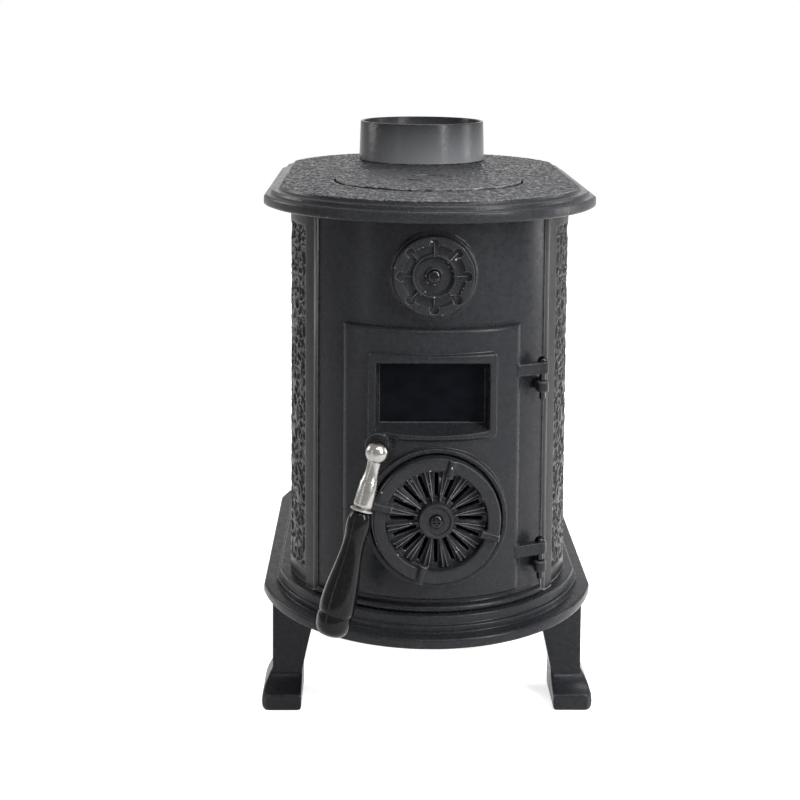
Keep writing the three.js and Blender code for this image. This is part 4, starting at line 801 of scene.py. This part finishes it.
def new_material(name, colour, metallic, roughness, **sockets):
    material = bpy.data.materials.new(name)
    material.use_nodes = True
    shader = material.node_tree.nodes["Principled BSDF"]
    shader.inputs["Base Color"].default_value = (*colour, 1)
    shader.inputs["Metallic"].default_value = metallic
    shader.inputs["Roughness"].default_value = roughness
    for key, value in sockets.items():
        shader.inputs[key.replace("_", " ")].default_value = value
    material.diffuse_color = (*colour, 1)
    return material, material.node_tree, shader


def noise_at(tree, size_mm, detail=3, roughness=0.5, stretch=(1, 1, 1)):
    """Noise value whose features are about a size in millimetres."""
    spot = add(tree, "ShaderNodeTexCoord").outputs["Object"]
    if stretch != (1, 1, 1):
        spot = add(tree, "ShaderNodeMapping", {"Vector": spot, "Scale": stretch}).outputs["Vector"]
    inputs = {"Vector": spot, "Scale": 1 / (size_mm * MM), "Detail": detail, "Roughness": roughness}
    return add(tree, "ShaderNodeTexNoise", inputs).outputs["Fac"]


def between(tree, value, low, high, start, end):
    """Straight-line change of a value from one range to another, held at its ends."""
    inputs = {"Value": value, "From Min": low, "From Max": high, "To Min": start, "To Max": end}
    return add(tree, "ShaderNodeMapRange", inputs).outputs["Result"]


def blend_colours(tree, factor, first, second):
    node = add(tree, "ShaderNodeMix", data_type="RGBA")
    for socket, value in zip((node.inputs[0], node.inputs[6], node.inputs[7]), (factor, first, second)):
        if isinstance(value, bpy.types.NodeSocket):
            tree.links.new(value, socket)
        elif isinstance(value, tuple):
            socket.default_value = (*value, 1)
        else:
            socket.default_value = value
    return node.outputs[2]


def total(tree, *values):
    result = values[0]
    for value in values[1:]:
        result = add(tree, "ShaderNodeMath", {0: result, 1: value}, operation="ADD").outputs[0]
    return result


def scaled(tree, value, factor):
    return add(tree, "ShaderNodeMath", {0: value, 1: factor}, operation="MULTIPLY").outputs[0]


def bump(tree, shader, height, distance_mm, strength=1.0):
    inputs = {"Height": height, "Distance": distance_mm * MM, "Strength": strength}
    node = add(tree, "ShaderNodeBump", inputs)
    tree.links.new(node.outputs["Normal"], shader.inputs["Normal"])


def iron_paint(name, ground, edge_wear_and_highlight, grain_mm, grain_depth, gloss, fleck_and_glint_share):
    """Stove paint on cast iron: fine casting grain, edges lightened for wear and painted highlight, painted shade in
    hollows, and bright specks that are partly mineral flecks and partly painted glints.
    """
    material, tree, shader = new_material(name, ground, 0.0, gloss, Specular_IOR_Level=0.09)
    patches = between(tree, noise_at(tree, 38, 4, 0.6), 0.35, 0.7, 0, 1)
    tone = blend_colours(tree, patches, ground, tuple(1.35 * value for value in ground))
    point = add(tree, "ShaderNodeNewGeometry").outputs["Pointiness"]
    # Edges lightened by pointiness: partly real rubbed wear, partly painted highlight on convex edges.
    wear_and_highlight_mask = between(tree, point, 0.53, 0.6, 0, 0.6)
    tone = blend_colours(tree, wear_and_highlight_mask, tone, edge_wear_and_highlight)
    # Painted shade: hollows and creases darkened to near black by pointiness.
    painted_hollow_shade = between(tree, point, 0.4, 0.49, 0.85, 0)
    tone = blend_colours(tree, painted_hollow_shade, tone, (0.002, 0.002, 0.002))
    # Bright specks with lower roughness: partly paint flecks, partly painted glints.
    flecks_and_glints = between(tree, noise_at(tree, 0.6, 2, 0.6), 0.54, 0.7, 0, 1)
    tone = blend_colours(tree, scaled(tree, flecks_and_glints, fleck_and_glint_share), tone, (0.075, 0.077, 0.085))
    tree.links.new(tone, shader.inputs["Base Color"])
    rough = total(tree, between(tree, noise_at(tree, 6, 3), 0.3, 0.7, gloss - 0.06, gloss + 0.08),
                  scaled(tree, wear_and_highlight_mask, -0.12), scaled(tree, flecks_and_glints, -0.18))
    tree.links.new(rough, shader.inputs["Roughness"])
    height = total(tree, scaled(tree, noise_at(tree, grain_mm, 4, 0.6), 1.0),
                   scaled(tree, noise_at(tree, 7 * grain_mm, 2), 1.2))
    bump(tree, shader, height, grain_depth)
    return material


def machined_metal(name, colour, rough, streak_mm, stretch):
    material, tree, shader = new_material(name, colour, 1.0, rough)
    streaks = noise_at(tree, streak_mm, 3, 0.6, stretch)
    tone = blend_colours(tree, between(tree, streaks, 0.3, 0.7, 0, 1), colour, tuple(0.72 * value for value in colour))
    tree.links.new(tone, shader.inputs["Base Color"])
    tree.links.new(between(tree, streaks, 0.3, 0.7, rough - 0.07, rough + 0.1), shader.inputs["Roughness"])
    bump(tree, shader, streaks, 0.03)
    return material


def nickel_plate():
    material, tree, shader = new_material("nickel_plate", (0.21, 0.205, 0.195), 1.0, 0.25)
    cloud = noise_at(tree, 5, 4, 0.6)
    tree.links.new(between(tree, cloud, 0.3, 0.75, 0.18, 0.34), shader.inputs["Roughness"])
    bump(tree, shader, noise_at(tree, 3.2, 2), 0.035)
    return material


def grip_lacquer():
    material, tree, shader = new_material("grip_lacquer", (0.003, 0.003, 0.0035), 0.0, 0.12, Specular_IOR_Level=0.1)
    grain = noise_at(tree, 1.6, 4, 0.6, (1, 1, 0.12))
    tone = blend_colours(tree, between(tree, grain, 0.4, 0.75, 0, 1), (0.002, 0.002, 0.0025), (0.006, 0.0055, 0.0055))
    tree.links.new(tone, shader.inputs["Base Color"])
    tree.links.new(between(tree, grain, 0.3, 0.7, 0.09, 0.17), shader.inputs["Roughness"])
    bump(tree, shader, grain, 0.03)
    return material


def stove_glass():
    # The pane is drawn opaque and near-black: painted shade of the dark firebox behind it.
    material, tree, shader = new_material("stove_glass", (0.002, 0.0025, 0.004), 0.0, 0.08, Specular_IOR_Level=0.015)
    haze = noise_at(tree, 18, 4, 0.6, (1, 1, 1.8))
    tone = blend_colours(tree, between(tree, haze, 0.4, 0.75, 0, 1), (0.0015, 0.002, 0.003), (0.004, 0.005, 0.008))
    tree.links.new(tone, shader.inputs["Base Color"])
    tree.links.new(between(tree, haze, 0.3, 0.8, 0.05, 0.2), shader.inputs["Roughness"])
    return material


def braided_rope():
    material, tree, shader = new_material("braided_rope", (0.025, 0.024, 0.021), 0.0, 0.95)
    spot = add(tree, "ShaderNodeTexCoord").outputs["Object"]
    turned_spot = add(tree, "ShaderNodeMapping", {"Vector": spot, "Rotation": (0.6, 0.7, 0.8)}).outputs["Vector"]
    strands = add(tree, "ShaderNodeTexWave", {"Vector": turned_spot, "Scale": 260, "Distortion": 1.5}).outputs["Fac"]
    fuzz = noise_at(tree, 0.6, 3)
    tone = blend_colours(tree, between(tree, strands, 0.2, 0.8, 0, 1), (0.012, 0.011, 0.010), (0.04, 0.038, 0.034))
    tree.links.new(tone, shader.inputs["Base Color"])
    bump(tree, shader, total(tree, strands, scaled(tree, fuzz, 0.6)), 0.4)
    return material


def fire_board():
    material, tree, shader = new_material("fire_board", (0.52, 0.45, 0.34), 0.0, 0.92)
    grit = noise_at(tree, 1.1, 5, 0.7)
    stain = between(tree, noise_at(tree, 45, 4, 0.6), 0.42, 0.7, 0, 0.75)
    tone = blend_colours(tree, between(tree, grit, 0.35, 0.7, 0, 1), (0.56, 0.48, 0.36), (0.40, 0.34, 0.26))
    tone = blend_colours(tree, stain, tone, (0.10, 0.09, 0.08))
    tree.links.new(tone, shader.inputs["Base Color"])
    bump(tree, shader, grit, 0.5)
    return material


def galvanised_sheet():
    material, tree, shader = new_material("galvanised_sheet", (0.52, 0.54, 0.56), 1.0, 0.42)
    spot = add(tree, "ShaderNodeTexCoord").outputs["Object"]
    spangle = add(tree, "ShaderNodeTexVoronoi", {"Vector": spot, "Scale": 110}).outputs["Color"]
    flake = add(tree, "ShaderNodeRGBToBW", {"Color": spangle}).outputs["Val"]
    tone = blend_colours(tree, flake, (0.40, 0.42, 0.44), (0.62, 0.64, 0.66))
    tree.links.new(tone, shader.inputs["Base Color"])
    tree.links.new(between(tree, flake, 0, 1, 0.3, 0.52), shader.inputs["Roughness"])
    bump(tree, shader, noise_at(tree, 4, 2), 0.05)
    return material


# Third colour of each paint: its edge colour, partly wear and partly painted highlight; last number: share of bright
# specks, partly paint flecks and partly painted glints.
BODY_PAINT = iron_paint("body_iron_paint", (0.0065, 0.0068, 0.008), (0.16, 0.162, 0.17), 0.9, 0.05, 0.28, 0.45)
DETAIL_PAINT = iron_paint("detail_iron_paint", (0.009, 0.0093, 0.0105), (0.55, 0.55, 0.56), 0.9, 0.05, 0.24, 0.45)
RELIEF_PAINT = iron_paint("relief_iron_paint", (0.0065, 0.0065, 0.007), (0.46, 0.46, 0.44), 1.2, 0.12, 0.32, 0.4)
TOP_PAINT = iron_paint("top_iron_paint", (0.009, 0.0093, 0.0105), (0.55, 0.55, 0.56), 1.4, 0.12, 0.3, 0.6)
BARE_IRON = iron_paint("bare_iron", (0.04, 0.037, 0.034), (0.16, 0.15, 0.14), 1.2, 0.3, 0.6, 0.3)
DARK_STEEL = machined_metal("dark_steel", (0.02, 0.02, 0.022), 0.15, 1.0, (1, 1, 1))
BRIGHT_STEEL = machined_metal("bright_steel", (0.66, 0.66, 0.68), 0.24, 0.9, (1, 1, 0.3))
NICKEL = nickel_plate()
LACQUER = grip_lacquer()
GLASS = stove_glass()
ROPE = braided_rope()
BOARD = fire_board()
GALVANISED = galvanised_sheet()


def dress(piece, body, nodes, material):
    piece.data.materials.clear()
    piece.data.materials.append(material)
    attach(piece, body)
    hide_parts(*nodes)
    return piece


# ---------------------------------------------------------------- pieces
dress(base_plate(), "stove", ["base_plate"], BODY_PAINT)
dress(top_plate(), "stove", ["top_plate"], TOP_PAINT)
dress(hotplate_lid(), "lid", ["hotplate_lid"], TOP_PAINT)
dress(flue_collar(), "stove", ["flue_collar"], BODY_PAINT)
dress(side_panel(1), "stove", ["side_panel_right"], RELIEF_PAINT)
dress(side_panel(-1), "stove", ["side_panel_left"], RELIEF_PAINT)
dress(front_plate(), "stove", ["front_plate"], BODY_PAINT)
dress(back_plate(), "stove", ["back_plate"], BODY_PAINT)
dress(door_leaf(), "door", ["door"], BODY_PAINT)
dress(air_wheel(), "air_wheel", ["air_wheel"], DETAIL_PAINT)
dress(upper_damper(), "upper_damper", ["upper_damper"], DETAIL_PAINT)
dress(handle_knuckle(), "handle", ["handle_knuckle"], NICKEL)
dress(handle_grip(), "handle", ["handle_grip"], LACQUER)
for place_name in ("front_left", "front_right", "back_left", "back_right"):
    leg = softened_copy(f"leg_{place_name}", f"leg_casting_{place_name}", 1.0, 5, 0.4)
    dress(leg, "stove", [f"leg_{place_name}"], BODY_PAINT)
for pin_name, arm_bottom in zip(("lower", "upper"), HINGE_ARMS):
    pin = hinge_pin(f"steel_pin_{pin_name}", arm_bottom)
    dress(pin, "stove", [f"hinge_pin_{pin_name}"], DARK_STEEL)
wheel_seat = WHEEL_BACK + WHEEL["thickness"] - HUB_DISH["depth"] + GAP
wheel_centre = (WHEEL["x"], -wheel_seat, WHEEL["height"])
shank = WHEEL["thickness"] - HUB_DISH["depth"] + SCREW["bite"]
wheel_screw = pan_screw("steel_wheel_screw", SCREW, shank, wheel_centre, facing_front)
dress(wheel_screw, "door", ["air_wheel_screw"], DARK_STEEL)
damper_centre = (0, -DAMPER["face"] - CHANNEL["hub_height"] - 2 * GAP, DAMPER["height"])
shank = CHANNEL["hub_height"] + SCREW["bite"]
damper_screw = pan_screw("steel_damper_screw", SCREW, shank, damper_centre, facing_front)
dress(damper_screw, "stove", ["upper_damper_screw"], DARK_STEEL)
for side_name, side in (("left", -1), ("right", 1)):
    ear_centre = (side * (COLLAR["bore"] - EAR["length"] / 2), COLLAR["y"], FIELD_TOP + EAR["thickness"] + 2 * GAP)
    screw = pan_screw(f"steel_collar_screw_{side_name}", COLLAR_SCREW, EAR["thickness"] + DECK, ear_centre, facing_up)
    dress(screw, "stove", [f"collar_screw_{side_name}"], DARK_STEEL)

CARRIED = {"body_iron": BARE_IRON, "top_iron": TOP_PAINT, "dark_steel": DARK_STEEL, "bright_steel": BRIGHT_STEEL,
           "nickel": NICKEL, "black_grip": LACQUER, "smoked_glass": GLASS, "fibre_rope": ROPE,
           "fire_board": BOARD, "galvanised": GALVANISED}
for part in frame["record"]["subparts"]:
    node = frame["nodes"][part["node"]]
    for slot in node.material_slots:
        slot.link = "OBJECT"
        slot.material = CARRIED[part["material_slot"]]


# ---------------------------------------------------------------- stage, lights and camera
def background_rays(tree):
    path = add(tree, "ShaderNodeLightPath")
    kinds = ("Is Camera Ray", "Is Glossy Ray", "Is Transmission Ray")
    return total(tree, *[path.outputs[kind] for kind in kinds])


def studio_world():
    world = bpy.data.worlds.new("studio")
    bpy.context.scene.world = world
    world.use_nodes = True
    tree = world.node_tree
    background = tree.nodes["Background"]
    direction = add(tree, "ShaderNodeTexCoord").outputs["Generated"]
    axes = add(tree, "ShaderNodeSeparateXYZ", {"Vector": direction})
    height = between(tree, axes.outputs["Z"], -0.4, 1, 0.15, 0.6)
    side = between(tree, axes.outputs["X"], -0.8, 0.8, 0.35, 1.1)
    level = add(tree, "ShaderNodeMath", {0: height, 1: side}, operation="MULTIPLY").outputs[0]
    soft = add(tree, "ShaderNodeCombineColor", {"Red": level, "Green": level, "Blue": level}).outputs["Color"]
    colour = blend_colours(tree, background_rays(tree), soft, (1, 1, 1))
    tree.links.new(colour, background.inputs["Color"])


def pale_floor():
    floor = prism("floor", rectangle(-3000, 3000, -3000, 3000), -2, 0)
    material, tree, shader = new_material("pale_floor", (0.86, 0.86, 0.86), 0.0, 0.9)
    shader.inputs["Emission Color"].default_value = (1, 1, 1, 1)
    tree.links.new(scaled(tree, background_rays(tree), 0.75), shader.inputs["Emission Strength"])
    bump(tree, shader, noise_at(tree, 2, 3), 0.02)
    floor.data.materials.append(material)


def area_light(name, spot, width, height, power):
    """Lamp at a millimetre point that faces the middle of the stove."""
    lamp = bpy.data.lights.new(name, "AREA")
    lamp.shape = "RECTANGLE"
    lamp.size = width
    lamp.size_y = height
    lamp.energy = power
    holder = bpy.data.objects.new(name, lamp)
    bpy.context.scene.collection.objects.link(holder)
    holder.location = place(*spot)
    holder.visible_camera = False
    aim = Vector(place(0, 0, 260)) - holder.location
    holder.rotation_euler = aim.to_track_quat("-Z", "Y").to_euler()


def photo_camera():
    camera = bpy.data.cameras.new("photo_camera")
    camera.lens = 61.16
    camera.shift_y = -0.333
    holder = bpy.data.objects.new("photo_camera", camera)
    bpy.context.scene.collection.objects.link(holder)
    turn = Matrix.Rotation(math.radians(-0.9), 4, "Z") @ Matrix.Rotation(math.radians(85.5), 4, "X")
    holder.matrix_world = Matrix.Translation(place(-43.2, -1228.33, 567.7)) @ turn @ Matrix.Rotation(math.radians(0.4), 4, "Z")
    bpy.context.scene.camera = holder


studio_world()
pale_floor()
area_light("key", (950, -1050, 1000), 0.3, 1.1, 38)
area_light("right", (1400, 100, 500), 0.4, 0.8, 10)
area_light("top", (250, 350, 1700), 0.7, 0.5, 16)
area_light("rims", (350, -850, 1400), 1.2, 0.12, 14)
area_light("left_edge", (-1300, 450, 700), 0.4, 0.5, 8)
area_light("left_strip", (-1000, -900, 450), 0.06, 1.0, 1.5)
area_light("back", (150, 1700, 850), 1.4, 0.25, 1.2)
photo_camera()
bpy.context.scene.view_settings.view_transform = "Standard"
